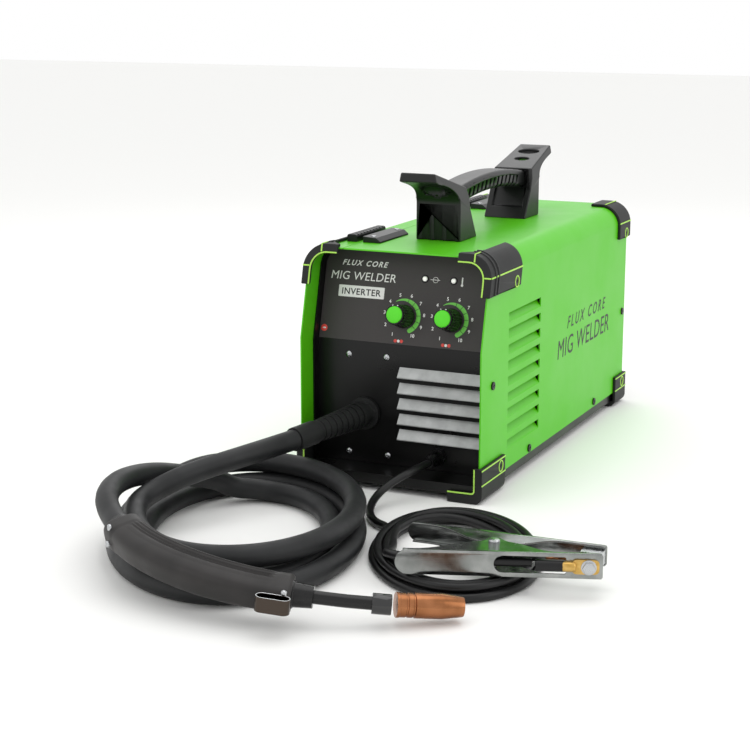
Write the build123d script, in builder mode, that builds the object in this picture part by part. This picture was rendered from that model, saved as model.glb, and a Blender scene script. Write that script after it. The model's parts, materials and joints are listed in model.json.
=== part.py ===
from build123d import *
import math
import os

# Flux-core MIG welding machine: sheet-metal case, wire feeder, gun on its hose, ground clamp on its
# cable. Frame: X across the case (right side +X), Y from front (-Y) to back, Z up. The origin is on the
# floor under the centre of the case. Millimetres.

os.makedirs("parts", exist_ok=True)

# ------------------------------------------------------------------ case sizes
case_width = 200.0
case_depth = 480.0
case_top = 245.0
foot_height = 7.0  # underside of the base tray above the floor
skirt_z = 17.5  # lower edge of the side sheets
sheet = 1.5
bend_radius = 22.0  # outer radius of the long top bends
lean_start_z = 153.0  # the front edge leans back above this height
lean_run = 23.0  # and is this far back at the top
panel_recess = 36.0  # front panel behind the front edge
panel_bend_z = 147.0  # the front panel leans back above this height
panel_flange = 11.0  # front panel's border turned forwards
rear_recess = 12.0
seam_x = -62.0  # the door's top flange meets the cover here
seam_gap = 1.0
wall_gap = 0.3  # sheet to sheet, where pieces only touch through screws

half = case_width / 2
front_y = -case_depth / 2
rear_y = case_depth / 2
inner_x = half - sheet - wall_gap
lean = math.atan2(lean_run, case_top - lean_start_z)
panel_y = front_y + panel_recess
panel_top_z = case_top - sheet - 0.5
panel_low = skirt_z + wall_gap
rear_panel_y = rear_y - rear_recess

# ------------------------------------------------------------------ door hinge and latches
hinge_x = -(half + 1.6)
hinge_z = 13.0
hinge_pin_r = 1.5
hinge_barrel_r = 2.5
shaft_gap = 0.05  # radial running clearance of every shaft and pin
barrel_length = 26.0
barrel_gap = 0.5
barrel_ys = (-120.0, 0.0, 120.0)
notch_length = 68.0  # door cut away round each bottom bumper
notch_z = 40.0
latch_ys = (-140.0, 160.0)
latch_length = 72.0

# ------------------------------------------------------------------ corner bumpers
bumper_skin = 3.5
bumper_gap = 0.15
bumper_leg_x = 66.0  # inner end of the top and bottom legs
bumper_top_leg_z = 207.0  # lower end of a top bumper's side leg
bumper_low_leg_z = 37.0  # upper end of a bottom bumper's side leg
bumper_lip = 4.0  # how far a bumper stands in front of the sheet's edge
bumper_lip_width = 9.5
top_bumper_length = 85.0
low_bumper_length = 62.0
rear_bumper_length = 38.0
bumper_screw_r = 2.2
relief_x = 81.0  # a front top bumper is cut back to here beside the latch
relief_start = -214.0
bumper_screw_head_r = 4.2

# ------------------------------------------------------------------ handle
handle_x = 7.0
handle_width = 50.0
handle_lip_width = 37.0
handle_mid_y = -11.0
post_front = 121.0  # half distance between the posts' outer faces
post_back = 74.0  # half distance between the posts' inner faces
lip_reach = 175.0  # half distance between the two lips
lip_z = 321.0
lip_thick = 9.5
flute_r = 9.0
flute_depth = 2.0
grip_width = 30.0
grip_top_z = 306.0
grip_thick = 19.0

# ------------------------------------------------------------------ front panel fittings
knob_xs = (-2.3, 50.3)
knob_up = 29.0  # distance up the leaning panel from its bend
lamp_xs = (16.7, 48.2)
lamp_up = 69.0
knob_r = 12.0
knob_height = 25.0
knob_cap_r = 8.6
shaft_r = 3.0
bush_r = 4.5
lamp_r = 2.5
label_thick = 0.4
label_corner = 20.0
louvre_count = 5
louvre_pitch = 16.4
louvre_top_z = 124.0
louvre_x = (-4.0, 88.0)
louvre_depth = 7.0
louvre_height = 11.0
side_louvre_count = 9
side_louvre_pitch = 16.7
side_louvre_top_z = 181.9
side_louvre_y = (front_y + 75.0, front_y + 171.0)
side_louvre_height = 10.0
side_louvre_depth = 7.0
boot_x, boot_z = -43.0, 71.0
gland_x, gland_z = 40.0, 33.0
hose_r = 10.5
cable_r = 4.0

# ------------------------------------------------------------------ inside
divider_x = -15.0
spool_r = 100.0
spool_width = 54.0
spool_y, spool_z = 108.0, 116.0
spindle_r = 25.0
roll_r = 12.0
roll_width = 9.0
roll_y, roll_z = -135.0, 108.0
fan_x, fan_z = 42.0, 128.0
fan_r = 43.0


def save(part, name):
    """Label a finished piece and write it as one STEP file."""
    part.label = name
    export_step(part, f"parts/{name}.step")


def edge_y(z):
    """Y of the side sheets' front edge at height z."""
    return front_y + max(0.0, z - lean_start_z) * math.tan(lean)


label_plane = Plane(
    origin=(0, panel_y, panel_bend_z),
    x_dir=(1, 0, 0),
    z_dir=(0, -math.cos(lean), math.sin(lean)),
)


def cross_plane(y):
    """XZ plane at y; a positive extrusion from it runs towards the front."""
    return Plane.XZ.offset(-y)


def bent_strip(x_end):
    """Section of a bent side sheet: down the right side, round the bend and in along the top to x_end."""
    with BuildSketch(cross_plane(rear_y)) as strip:
        with BuildLine():
            FilletPolyline((x_end, case_top), (half, case_top), (half, skirt_z), radius=bend_radius)
            Line((half, skirt_z), (half - sheet, skirt_z))
            FilletPolyline(
                (half - sheet, skirt_z),
                (half - sheet, case_top - sheet),
                (x_end, case_top - sheet),
                radius=bend_radius - sheet,
            )
            Line((x_end, case_top - sheet), (x_end, case_top))
        make_face()
    return strip.sketch


def side_outline():
    """Side view of the case: vertical front edge that leans back above the bend."""
    above = case_top + 5
    with BuildSketch(Plane.YZ) as outline:
        with BuildLine():
            Polyline(
                (front_y, skirt_z),
                (front_y, lean_start_z),
                (edge_y(above), above),
                (rear_y, above),
                (rear_y, skirt_z),
                close=True,
            )
        make_face()
    return outline.sketch


def arch(inset):
    """Front view of a panel that fits inside the bent sheets, rounded with them at the top corners."""
    side = inner_x - inset
    top = panel_top_z - inset
    with BuildSketch(cross_plane(rear_y)) as outline:
        with BuildLine():
            FilletPolyline(
                (-side, panel_low),
                (-side, top),
                (side, top),
                (side, panel_low),
                radius=bend_radius - sheet - inset,
            )
            Line((side, panel_low), (-side, panel_low))
        make_face()
    return outline.sketch


# ================================================================== case
with BuildPart() as base_tray:
    with BuildSketch(Plane.XY.offset(foot_height)):
        Rectangle(2 * inner_x, case_depth)
    extrude(amount=30.0)
    with BuildSketch(Plane.XY.offset(foot_height + sheet)):
        Rectangle(2 * (inner_x - sheet), case_depth - 2 * sheet)
    extrude(amount=30.0, mode=Mode.SUBTRACT)
    for y_low, y_high in ((front_y, panel_y + sheet + 1), (rear_panel_y - 1, rear_y)):
        with BuildSketch(Plane.XY.offset(skirt_z)):
            with Locations((0, (y_low + y_high) / 2)):
                Rectangle(2 * inner_x, y_high - y_low)
        extrude(amount=30.0, mode=Mode.SUBTRACT)
        with BuildSketch(Plane.XY.offset(skirt_z - sheet)):
            with Locations((0, (y_low + y_high) / 2)):
                Rectangle(2 * inner_x, y_high - y_low)
        extrude(amount=sheet)
    for y in barrel_ys:
        with BuildSketch(cross_plane(y + barrel_length / 2)):
            with BuildLine():
                Polyline(
                    (-inner_x, hinge_z - 1),
                    (-inner_x, hinge_z + 1),
                    (hinge_x, hinge_z + 1),
                    (hinge_x, hinge_z - 1),
                    close=True,
                )
            make_face()
        extrude(amount=barrel_length)
        with BuildSketch(cross_plane(y + barrel_length / 2)):
            with Locations((hinge_x, hinge_z)):
                Circle(hinge_barrel_r)
        extrude(amount=barrel_length)
        with BuildSketch(cross_plane(y + barrel_length / 2)):
            with Locations((hinge_x, hinge_z)):
                Circle(hinge_pin_r + shaft_gap)
        extrude(amount=barrel_length, mode=Mode.SUBTRACT)
save(base_tray.part, "base_tray")

case_side = side_outline()
cover_strip = bent_strip(seam_x + seam_gap)
with BuildPart() as cover:
    extrude(cover_strip, amount=case_depth)
    extrude(case_side, amount=half + 5, both=True, mode=Mode.INTERSECT)
    for row in range(side_louvre_count):
        top_z = side_louvre_top_z - row * side_louvre_pitch
        low_z = top_z - side_louvre_height
        y_mid = sum(side_louvre_y) / 2
        y_span = side_louvre_y[1] - side_louvre_y[0]
        with BuildSketch(Plane.YZ.offset(half - sheet - 1)):
            with Locations((y_mid, (top_z + low_z) / 2)):
                Rectangle(y_span, side_louvre_height)
        extrude(amount=sheet + 2, mode=Mode.SUBTRACT)
        with BuildSketch(cross_plane(side_louvre_y[1])):
            with BuildLine():
                Polyline(
                    (half, low_z - 0.01),
                    (half - side_louvre_depth, top_z - 0.8),
                    (half - side_louvre_depth - sheet, top_z - 1.2),
                    (half - sheet, low_z - 0.01),
                    close=True,
                )
            make_face()
        extrude(amount=y_span)
save(cover.part, "cover")

door_strip = mirror(bent_strip(-seam_x), about=Plane.YZ)
with BuildPart() as side_door:
    extrude(door_strip, amount=case_depth, dir=(0, -1, 0))
    extrude(case_side, amount=half + 5, both=True, mode=Mode.INTERSECT)
    for y in (front_y, rear_y):
        with BuildSketch(Plane.YZ.offset(-half - 1)):
            with Locations((y, 0)):
                Rectangle(2 * notch_length, 2 * notch_z)
        extrude(amount=sheet + 2, mode=Mode.SUBTRACT)
    for y in barrel_ys:
        for side in (-1, 1):
            y_high = y + side * (barrel_length + barrel_gap) + barrel_length / 2
            with BuildSketch(cross_plane(y_high)):
                with BuildLine():
                    Polyline(
                        (-half, skirt_z + 1),
                        (-half + sheet, skirt_z + 1),
                        (-half + sheet, skirt_z - 2),
                        (hinge_x + 1, hinge_z + 1),
                        (hinge_x - 1, hinge_z + 1),
                        (-half - 1, skirt_z - 1),
                        close=True,
                    )
                make_face()
                with Locations((hinge_x, hinge_z)):
                    Circle(hinge_barrel_r)
                    Circle(hinge_pin_r + shaft_gap, mode=Mode.SUBTRACT)
            extrude(amount=barrel_length)
save(side_door.part, "side_door")

pin_length = 3 * barrel_length + 2 * barrel_gap
with BuildPart() as hinge_pins:
    for y in barrel_ys:
        with BuildSketch(cross_plane(y + pin_length / 2)):
            with Locations((hinge_x, hinge_z)):
                Circle(hinge_pin_r)
        extrude(amount=pin_length)
save(hinge_pins.part, "hinge_pins")

# ------------------------------------------------------------------ front and rear panels
def panel_strip(setback, thick):
    """Side view of the front panel: upright below, leaning above, thick towards the back."""
    shift = thick / math.cos(lean)
    top_shift = (panel_top_z - panel_bend_z) * math.tan(lean)
    near = panel_y + setback
    with BuildSketch(Plane.YZ) as strip:
        with BuildLine():
            Polyline(
                (near, panel_low),
                (near, panel_bend_z),
                (near + top_shift, panel_top_z),
                (near + top_shift + shift, panel_top_z),
                (near + shift, panel_bend_z - 0.2),
                (near + shift, panel_low),
                close=True,
            )
        make_face()
    return strip.sketch


with BuildSketch(Plane.YZ) as hollow_side:
    hollow_near = panel_y - panel_flange - 5
    hollow_shift = (panel_top_z - panel_bend_z) * math.tan(lean)
    with BuildLine():
        Polyline(
            (hollow_near, panel_low - 5),
            (hollow_near, panel_bend_z),
            (hollow_near + hollow_shift, panel_top_z),
            (panel_y + hollow_shift, panel_top_z),
            (panel_y, panel_bend_z),
            (panel_y, panel_low - 5),
            close=True,
        )
    make_face()
hollow = extrude(hollow_side.sketch, amount=half, both=True) & extrude(arch(sheet), amount=case_depth)
panel_block = panel_strip(-panel_flange, panel_flange + sheet)
with BuildPart() as front_panel:
    extrude(panel_block, amount=half, both=True)
    extrude(arch(0), amount=case_depth, mode=Mode.INTERSECT)
    add(hollow, mode=Mode.SUBTRACT)
    for row in range(louvre_count):
        top_z = louvre_top_z - row * louvre_pitch
        x_mid = sum(louvre_x) / 2
        x_span = louvre_x[1] - louvre_x[0]
        with BuildSketch(cross_plane(panel_y + sheet + 1)):
            with Locations((x_mid, top_z - louvre_height / 2 - 1)):
                Rectangle(x_span - 2 * sheet, louvre_height - 3)
        extrude(amount=sheet + 2, mode=Mode.SUBTRACT)
        with BuildSketch(Plane.YZ.offset(louvre_x[0])):
            with BuildLine():
                Polyline(
                    (panel_y + 0.5, top_z),
                    (panel_y - louvre_depth, top_z - louvre_height + 1),
                    (panel_y - louvre_depth, top_z - louvre_height),
                    (panel_y - louvre_depth + sheet, top_z - louvre_height),
                    (panel_y + 0.5, top_z - 2.6),
                    close=True,
                )
            make_face()
        extrude(amount=x_span)
        for x in (louvre_x[0], louvre_x[1] - sheet):
            with BuildSketch(Plane.YZ.offset(x)):
                with BuildLine():
                    Polyline(
                        (panel_y + 0.5, top_z),
                        (panel_y - louvre_depth, top_z - louvre_height + 1),
                        (panel_y - louvre_depth, top_z - louvre_height),
                        (panel_y + 0.5, top_z - louvre_height),
                        close=True,
                    )
                make_face()
            extrude(amount=sheet)
    with BuildSketch(label_plane):
        with Locations(*[(x, knob_up) for x in knob_xs]):
            Circle(bush_r + 0.3)
        with Locations(*[(x, lamp_up) for x in lamp_xs]):
            Circle(lamp_r + 0.4)
    extrude(amount=8, both=True, mode=Mode.SUBTRACT)
    with BuildSketch(cross_plane(panel_y + sheet + 1)):
        with Locations((boot_x, boot_z)):
            Circle(13.0)
        with Locations((gland_x, gland_z)):
            Circle(7.0)
    extrude(amount=sheet + 2, mode=Mode.SUBTRACT)
save(front_panel.part, "front_panel")

label_length = (panel_top_z - panel_bend_z) / math.cos(lean) - 3
with BuildPart() as control_label:
    with BuildSketch(label_plane.offset(0.05)):
        with Locations((0, label_length / 2)):
            RectangleRounded(2 * (inner_x - sheet - 0.5), label_length, radius=label_corner)
        with Locations((0, label_corner / 2)):
            Rectangle(2 * (inner_x - sheet - 0.5), label_corner)
        with Locations(*[(x, knob_up) for x in knob_xs]):
            Circle(bush_r + 0.6, mode=Mode.SUBTRACT)
        with Locations(*[(x, lamp_up) for x in lamp_xs]):
            Circle(lamp_r + 0.4, mode=Mode.SUBTRACT)
    extrude(amount=label_thick)
save(control_label.part, "control_label")

switch_x, switch_z = -45.0, 190.0
inlet_x, inlet_z = -45.0, 60.0
rear_flange = 9.0
with BuildPart() as rear_panel:
    extrude(arch(0), amount=case_depth)
    with BuildSketch(cross_plane(rear_panel_y + sheet + rear_flange)):
        Rectangle(2 * case_width, 4 * case_top)
    extrude(amount=sheet + rear_flange, mode=Mode.INTERSECT)
    with BuildSketch(cross_plane(rear_y)):
        with Locations((0, -panel_low)):
            Rectangle(2 * (inner_x - sheet), 4 * panel_low)
    extrude(amount=rear_recess - sheet, mode=Mode.SUBTRACT)
    extrude(arch(sheet), amount=rear_recess - sheet, mode=Mode.SUBTRACT)
    with BuildSketch(cross_plane(rear_panel_y + sheet)):
        with Locations((fan_x, fan_z)):
            Circle(fan_r)
        with Locations((switch_x, switch_z)):
            Rectangle(28.0, 21.0)
        with Locations((inlet_x, inlet_z)):
            Circle(9.0)
    extrude(amount=sheet, mode=Mode.SUBTRACT)
    for ring_r in (14.0, 26.0, 38.0):
        with BuildSketch(cross_plane(rear_panel_y + sheet)):
            with Locations((fan_x, fan_z)):
                Circle(ring_r + 1.2)
                Circle(ring_r - 1.2, mode=Mode.SUBTRACT)
        extrude(amount=sheet)
    with BuildSketch(cross_plane(rear_panel_y + sheet)):
        with Locations((fan_x, fan_z)):
            Rectangle(2 * fan_r + 1, 3.0, rotation=45)
            Rectangle(2 * fan_r + 1, 3.0, rotation=-45)
    extrude(amount=sheet)
save(rear_panel.part, "rear_panel")

divider_front = panel_y + 30.0
with BuildPart() as divider_panel:
    with BuildSketch(Plane.YZ.offset(divider_x)):
        with Locations(((divider_front + rear_panel_y - 4) / 2, 0)):
            Rectangle(rear_panel_y - 4 - divider_front, 2 * (panel_top_z - 1))
        with Locations((roll_y, roll_z)):
            Circle(14.0, mode=Mode.SUBTRACT)
    extrude(amount=sheet)
    with BuildSketch(Plane.XY.offset(foot_height + sheet)):
        Rectangle(2 * case_width, 2 * case_depth)
    extrude(amount=-2 * case_top, mode=Mode.SUBTRACT)
    with BuildSketch(Plane.XY.offset(foot_height + sheet)):
        with Locations((divider_x + 8, (divider_front + rear_panel_y - 4) / 2)):
            Rectangle(16.0, rear_panel_y - 4 - divider_front)
    extrude(amount=sheet)
save(divider_panel.part, "divider_panel")


# ------------------------------------------------------------------ corner bumpers
def edge_slab(front, near, far):
    """Prism across the case between two lines parallel to its front or rear edge."""
    rise = 30.0
    top_z = case_top + rise
    lean_y = (top_z - lean_start_z) * math.tan(lean) if front else 0.0
    start = front_y if front else rear_y
    side = 1 if front else -1
    with BuildSketch(Plane.YZ) as outline:
        with BuildLine():
            Polyline(
                (start + side * near, -rise),
                (start + side * near, lean_start_z),
                (start + side * near + lean_y, top_z),
                (start + side * far + lean_y, top_z),
                (start + side * far, lean_start_z),
                (start + side * far, -rise),
                close=True,
            )
        make_face()
    return extrude(outline.sketch, amount=half + 20, both=True)


def corner_ring(top, thick):
    """L-shaped section of a bumper, run along the whole case."""
    x_out = half + bumper_gap + bumper_skin
    skin = thick if top else max(thick, foot_height - bumper_gap)
    z_out = case_top + bumper_gap + bumper_skin if top else 0.0
    z_in = z_out - skin if top else z_out + skin
    z_far = bumper_top_leg_z if top else bumper_low_leg_z
    radius = bend_radius + bumper_gap + bumper_skin if top else 9.0
    with BuildSketch(cross_plane(0)) as ring:
        with BuildLine():
            FilletPolyline((bumper_leg_x, z_out), (x_out, z_out), (x_out, z_far), radius=radius)
            Line((x_out, z_far), (x_out - thick, z_far))
            FilletPolyline(
                (x_out - thick, z_far),
                (x_out - thick, z_in),
                (bumper_leg_x, z_in),
                radius=max(1.5, radius - skin),
            )
            Line((bumper_leg_x, z_in), (bumper_leg_x, z_out))
        make_face()
    return extrude(ring.sketch, amount=case_depth, both=True)


def bumper(top, front):
    """Corner guard for the right side: two legs round the sheet and a lip across its edge."""
    front_length = top_bumper_length if top else low_bumper_length
    length = front_length if front else rear_bumper_length
    z_screw = 212.5 if top else 27.7
    y_screw = edge_y(z_screw) + front_length - 13.0 if front else rear_y - 12.0
    legs = corner_ring(top, bumper_skin) & edge_slab(front, -bumper_lip, length)
    lip = corner_ring(top, bumper_lip_width) & edge_slab(front, -bumper_lip, -wall_gap)
    with BuildPart() as guard:
        add(legs)
        add(lip)
        if top and front:
            with BuildSketch(Plane.XY.offset(case_top - bumper_lip_width)):
                with BuildLine():
                    Line((bumper_leg_x - 5, relief_start), (bumper_leg_x, relief_start))
                    ThreePointArc(
                        (bumper_leg_x, relief_start),
                        (relief_x - 4, relief_start + 11),
                        (relief_x, relief_start + 27),
                    )
                    Polyline(
                        (relief_x, relief_start + 27),
                        (relief_x, handle_mid_y),
                        (bumper_leg_x - 5, handle_mid_y),
                        (bumper_leg_x - 5, relief_start),
                    )
                make_face()
            extrude(amount=bumper_lip_width + 10, mode=Mode.SUBTRACT)
        with Locations(Location((half + bumper_gap + bumper_skin, y_screw, z_screw), (0, 90, 0))):
            CounterBoreHole(bumper_screw_r + 0.3, bumper_screw_head_r + 0.6, 1.6, 12.0)
    return guard.part, (y_screw, z_screw)


bumper_screw_places = {}
for level in ("top", "bottom"):
    front_guard, bumper_screw_places[level, "front"] = bumper(level == "top", True)
    rear_guard, bumper_screw_places[level, "rear"] = bumper(level == "top", False)
    with BuildPart() as right_pair:
        add(front_guard)
        add(rear_guard)
    save(right_pair.part, f"bumpers_{level}_right")
    save(mirror(right_pair.part, about=Plane.YZ), f"bumpers_{level}_left")


def screw_row(places, name, shank):
    """Pan-head screws lying along X: head at x, shank towards the middle of the case."""
    with BuildPart() as screws:
        for x, y, z in places:
            side = 1 if x > 0 else -1
            head = Plane(origin=(x, y, z), x_dir=(0, 1, 0), z_dir=(side, 0, 0))
            with BuildSketch(head):
                Circle(bumper_screw_head_r)
            extrude(amount=1.4)
            with BuildSketch(head):
                Circle(bumper_screw_r)
            extrude(amount=-shank)
            with BuildSketch(head.offset(1.4)):
                Rectangle(4.4, 1.0)
                Rectangle(1.0, 4.4)
            extrude(amount=-0.9, mode=Mode.SUBTRACT)
    save(screws.part, name)


screw_x = half + bumper_gap + bumper_skin - 1.6
sheet_screw_x = half + 0.1
fixed_screws = [(screw_x, *place) for place in bumper_screw_places.values()]
fixed_screws += [(-screw_x, *bumper_screw_places["bottom", end]) for end in ("front", "rear")]
for y_back, z in ((31.0, 115.0), (142.0, 23.0), (366.0, 24.0), (470.0, 115.0)):
    fixed_screws.append((sheet_screw_x, front_y + y_back, z))
door_screws = [(-screw_x, *bumper_screw_places["top", end]) for end in ("front", "rear")]
screw_row(fixed_screws, "case_screws", 6.0)
screw_row(door_screws, "door_screws", 3.2)

# ------------------------------------------------------------------ handle
handle_low = case_top + 0.1


def handle_post():
    """Front post: upright foot flaring forwards and upwards to a cord horn with a thin lip."""
    outer = handle_mid_y - post_front
    inner = handle_mid_y - post_back
    with BuildPart() as post:
        with BuildSketch(Plane.YZ.offset(handle_x)):
            with BuildLine():
                Polyline((inner, handle_low), (outer, handle_low), (outer, handle_low + 38))
                Spline(
                    (outer, handle_low + 38),
                    (handle_mid_y - lip_reach, lip_z - lip_thick),
                    tangents=((0, 1), (-1, 0.35)),
                    tangent_scalars=(1.0, 0.6),
                )
                Polyline(
                    (handle_mid_y - lip_reach, lip_z - lip_thick),
                    (handle_mid_y - lip_reach, lip_z),
                    (inner - 26, lip_z - 21),
                    (inner - 18, lip_z - 45),
                    (inner, handle_low),
                )
            make_face()
        extrude(amount=handle_width / 2, both=True)
        fillet(
            post.edges().filter_by(Axis.X).group_by(Axis.Z)[-1],
            radius=1.5,
        )
        taper = (handle_width - handle_lip_width) / 2
        for side in (-1, 1):
            edge_x = handle_x + side * handle_width / 2
            with BuildSketch(Plane.XZ.offset(-inner - 5)):
                with BuildLine():
                    Polyline(
                        (edge_x, handle_low + 44),
                        (edge_x - side * taper, lip_z + 1),
                        (edge_x + side * 5, lip_z + 1),
                        (edge_x + side * 5, handle_low + 44),
                        close=True,
                    )
                make_face()
            extrude(amount=150.0, mode=Mode.SUBTRACT)
        for x in (-14.0, 0.0, 14.0):
            with BuildSketch(Plane.XY.offset(handle_low)):
                with Locations((handle_x + x, outer - flute_r + flute_depth)):
                    Circle(flute_r)
            extrude(amount=37.0, mode=Mode.SUBTRACT)
    return post.part


front_post = handle_post()
mirror_plane = Plane(origin=(0, handle_mid_y, 0), x_dir=(1, 0, 0), z_dir=(0, 1, 0))
save(front_post, "handle_front_post")
save(mirror(front_post, about=mirror_plane), "handle_rear_post")

grip_half = post_back + 24.0
with BuildPart() as handle_grip:
    with BuildSketch(Plane.YZ.offset(handle_x)):
        with BuildLine():
            ThreePointArc(
                (handle_mid_y - grip_half, grip_top_z - 8),
                (handle_mid_y, grip_top_z),
                (handle_mid_y + grip_half, grip_top_z - 8),
            )
            Line(
                (handle_mid_y + grip_half, grip_top_z - 8),
                (handle_mid_y + grip_half, grip_top_z - 8 - grip_thick),
            )
            ThreePointArc(
                (handle_mid_y + grip_half, grip_top_z - 8 - grip_thick),
                (handle_mid_y, grip_top_z - grip_thick),
                (handle_mid_y - grip_half, grip_top_z - 8 - grip_thick),
            )
            Line(
                (handle_mid_y - grip_half, grip_top_z - 8 - grip_thick),
                (handle_mid_y - grip_half, grip_top_z - 8),
            )
        make_face()
    extrude(amount=grip_width / 2, both=True)
    fillet(handle_grip.edges().filter_by(GeomType.CIRCLE), radius=5.0)
save(handle_grip.part, "handle_grip")

# ------------------------------------------------------------------ door latches
slider_x = seam_x - 9.5
slider_width = 11.0
latch_height = 7.9
rib_count = 9
rib_pitch = 7.6
for name, y in zip(("front", "rear"), latch_ys):
    with BuildPart() as slider:
        with BuildSketch(Plane.XY.offset(case_top + 0.1)):
            with Locations((slider_x, y)):
                Rectangle(slider_width, latch_length)
        extrude(amount=latch_height)
        fillet(slider.edges().filter_by(Axis.Y).group_by(Axis.Z)[-1], radius=2.5)
        for step in range(rib_count):
            with BuildSketch(cross_plane(y - latch_length / 2 + 7 + step * rib_pitch)):
                with Locations((slider_x, case_top + latch_height)):
                    Rectangle(slider_width + 5, 2.8)
            extrude(amount=2.4, mode=Mode.SUBTRACT)
        with BuildSketch(Plane.XY.offset(case_top + 1.9)):
            with Locations((slider_x + slider_width / 2 + 2, y)):
                Rectangle(6.4, 30.0)
        extrude(amount=2.2)
    save(slider.part, f"latch_slider_{name}")

keeper_x = seam_x + 3.0
keeper_width = 20.0
with BuildPart() as latch_keepers:
    for y in latch_ys:
        with BuildSketch(Plane.XZ.offset(-(y + latch_length / 2))):
            with BuildLine():
                Polyline(
                    (keeper_x, case_top + 0.1),
                    (keeper_x, case_top + 6.5),
                    (keeper_x + keeper_width - 5, case_top + 5.5),
                    (keeper_x + keeper_width, case_top + 1.5),
                    (keeper_x + keeper_width, case_top + 0.1),
                    close=True,
                )
            make_face()
        extrude(amount=latch_length)
        with BuildSketch(Plane.XY.offset(case_top + 1.4)):
            with Locations((keeper_x + 4.5, y)):
                Rectangle(11.0, 32.0)
        extrude(amount=3.2, mode=Mode.SUBTRACT)
save(latch_keepers.part, "latch_keepers")

# ------------------------------------------------------------------ knobs, lamps, switch
for name, x in zip(("voltage", "wire_speed"), knob_xs):
    base = label_plane.offset(label_thick + 0.6)
    with BuildPart() as knob:
        with BuildSketch(base):
            with Locations((x, knob_up)):
                Circle(knob_r)
                with PolarLocations(knob_r + 0.4, 20):
                    Circle(1.1, mode=Mode.SUBTRACT)
        extrude(amount=knob_height, taper=5)
        with BuildSketch(base.offset(knob_height)):
            with Locations((x, knob_up)):
                Circle(knob_cap_r + 0.1)
        extrude(amount=-1.5, mode=Mode.SUBTRACT)
        with BuildSketch(base):
            with Locations((x, knob_up)):
                Circle(bush_r + 0.6)
        extrude(amount=7.0, mode=Mode.SUBTRACT)
        with BuildSketch(label_plane.offset(-12.0)):
            with Locations((x, knob_up)):
                Circle(shaft_r)
        extrude(amount=20.5)
    save(knob.part, f"{name}_knob")
    with BuildPart() as cap:
        with BuildSketch(base.offset(knob_height - 1.5)):
            with Locations((x, knob_up)):
                Circle(knob_cap_r)
        extrude(amount=2.3)
        fillet(cap.edges().filter_by(GeomType.CIRCLE).sort_by(Axis.Z)[-1], radius=0.8)
        with BuildSketch(base.offset(knob_height + 0.8)):
            with Locations((x, knob_up + 4.2)):
                Rectangle(1.2, 5.0)
        extrude(amount=-0.5, mode=Mode.SUBTRACT)
    save(cap.part, f"{name}_knob_cap")

with BuildPart() as potentiometers:
    for x in knob_xs:
        with BuildSketch(label_plane.offset(-sheet - 0.4)):
            with Locations((x, knob_up)):
                Circle(12.0)
        extrude(amount=-11.0)
        with BuildSketch(label_plane.offset(-sheet - 0.5)):
            with Locations((x, knob_up)):
                Circle(bush_r)
        extrude(amount=sheet + 6.5)
        with BuildSketch(label_plane.offset(-14.0)):
            with Locations((x, knob_up)):
                Circle(shaft_r + shaft_gap)
        extrude(amount=25.0, mode=Mode.SUBTRACT)
save(potentiometers.part, "potentiometers")

with BuildPart() as lamps:
    for x in lamp_xs:
        with BuildSketch(label_plane.offset(-6.0)):
            with Locations((x, lamp_up)):
                Circle(lamp_r)
        extrude(amount=8.0)
    fillet(lamps.edges().filter_by(GeomType.CIRCLE).group_by(Axis.Z)[-1], radius=1.2)
save(lamps.part, "indicator_lamps")

rear_face_y = rear_panel_y + sheet
with BuildPart() as switch_housing:
    with BuildSketch(cross_plane(rear_face_y + 2.0)):
        with Locations((switch_x, switch_z)):
            RectangleRounded(32.0, 25.0, 1.5)
    extrude(amount=1.9)
    with BuildSketch(cross_plane(rear_face_y + 0.2)):
        with Locations((switch_x, switch_z)):
            Rectangle(27.5, 20.5)
    extrude(amount=20.0)
    with BuildSketch(cross_plane(rear_face_y + 3.0)):
        with Locations((switch_x, switch_z)):
            Rectangle(24.0, 17.0)
    extrude(amount=18.0, mode=Mode.SUBTRACT)
    with BuildSketch(Plane.YZ.offset(switch_x)):
        with Locations((rear_face_y - 5.0, switch_z)):
            Circle(1.5 + shaft_gap)
    extrude(amount=13.2, both=True, mode=Mode.SUBTRACT)
save(switch_housing.part, "switch_housing")

with BuildPart() as power_rocker:
    with BuildSketch(Plane.YZ.offset(switch_x)):
        with BuildLine():
            Polyline(
                (rear_face_y - 8.0, switch_z - 3.5),
                (rear_face_y + 1.2, switch_z - 7.6),
                (rear_face_y + 3.4, switch_z - 7.4),
                (rear_face_y + 1.8, switch_z),
                (rear_face_y + 3.4, switch_z + 7.4),
                (rear_face_y + 1.2, switch_z + 7.6),
                (rear_face_y - 8.0, switch_z + 3.5),
                close=True,
            )
        make_face()
    extrude(amount=11.4, both=True)
    with BuildSketch(Plane.YZ.offset(switch_x)):
        with Locations((rear_face_y - 5.0, switch_z)):
            Circle(1.5)
    extrude(amount=13.0, both=True)
save(power_rocker.part, "power_rocker")

with BuildPart() as power_inlet:
    with BuildSketch(cross_plane(rear_face_y + 4.0)):
        with Locations((inlet_x, inlet_z)):
            RegularPolygon(13.0, 6)
    extrude(amount=3.9)
    with BuildSketch(cross_plane(rear_face_y + 12.0)):
        with Locations((inlet_x, inlet_z)):
            Circle(9.5)
    extrude(amount=8.5)
    with BuildSketch(cross_plane(rear_face_y + 1.0)):
        with Locations((inlet_x, inlet_z)):
            Circle(8.8)
    extrude(amount=12.0)
    with BuildSketch(cross_plane(rear_face_y + 13.0)):
        with Locations((inlet_x, inlet_z)):
            Circle(5.0)
    extrude(amount=26.0, mode=Mode.SUBTRACT)
save(power_inlet.part, "power_inlet_gland")

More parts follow.
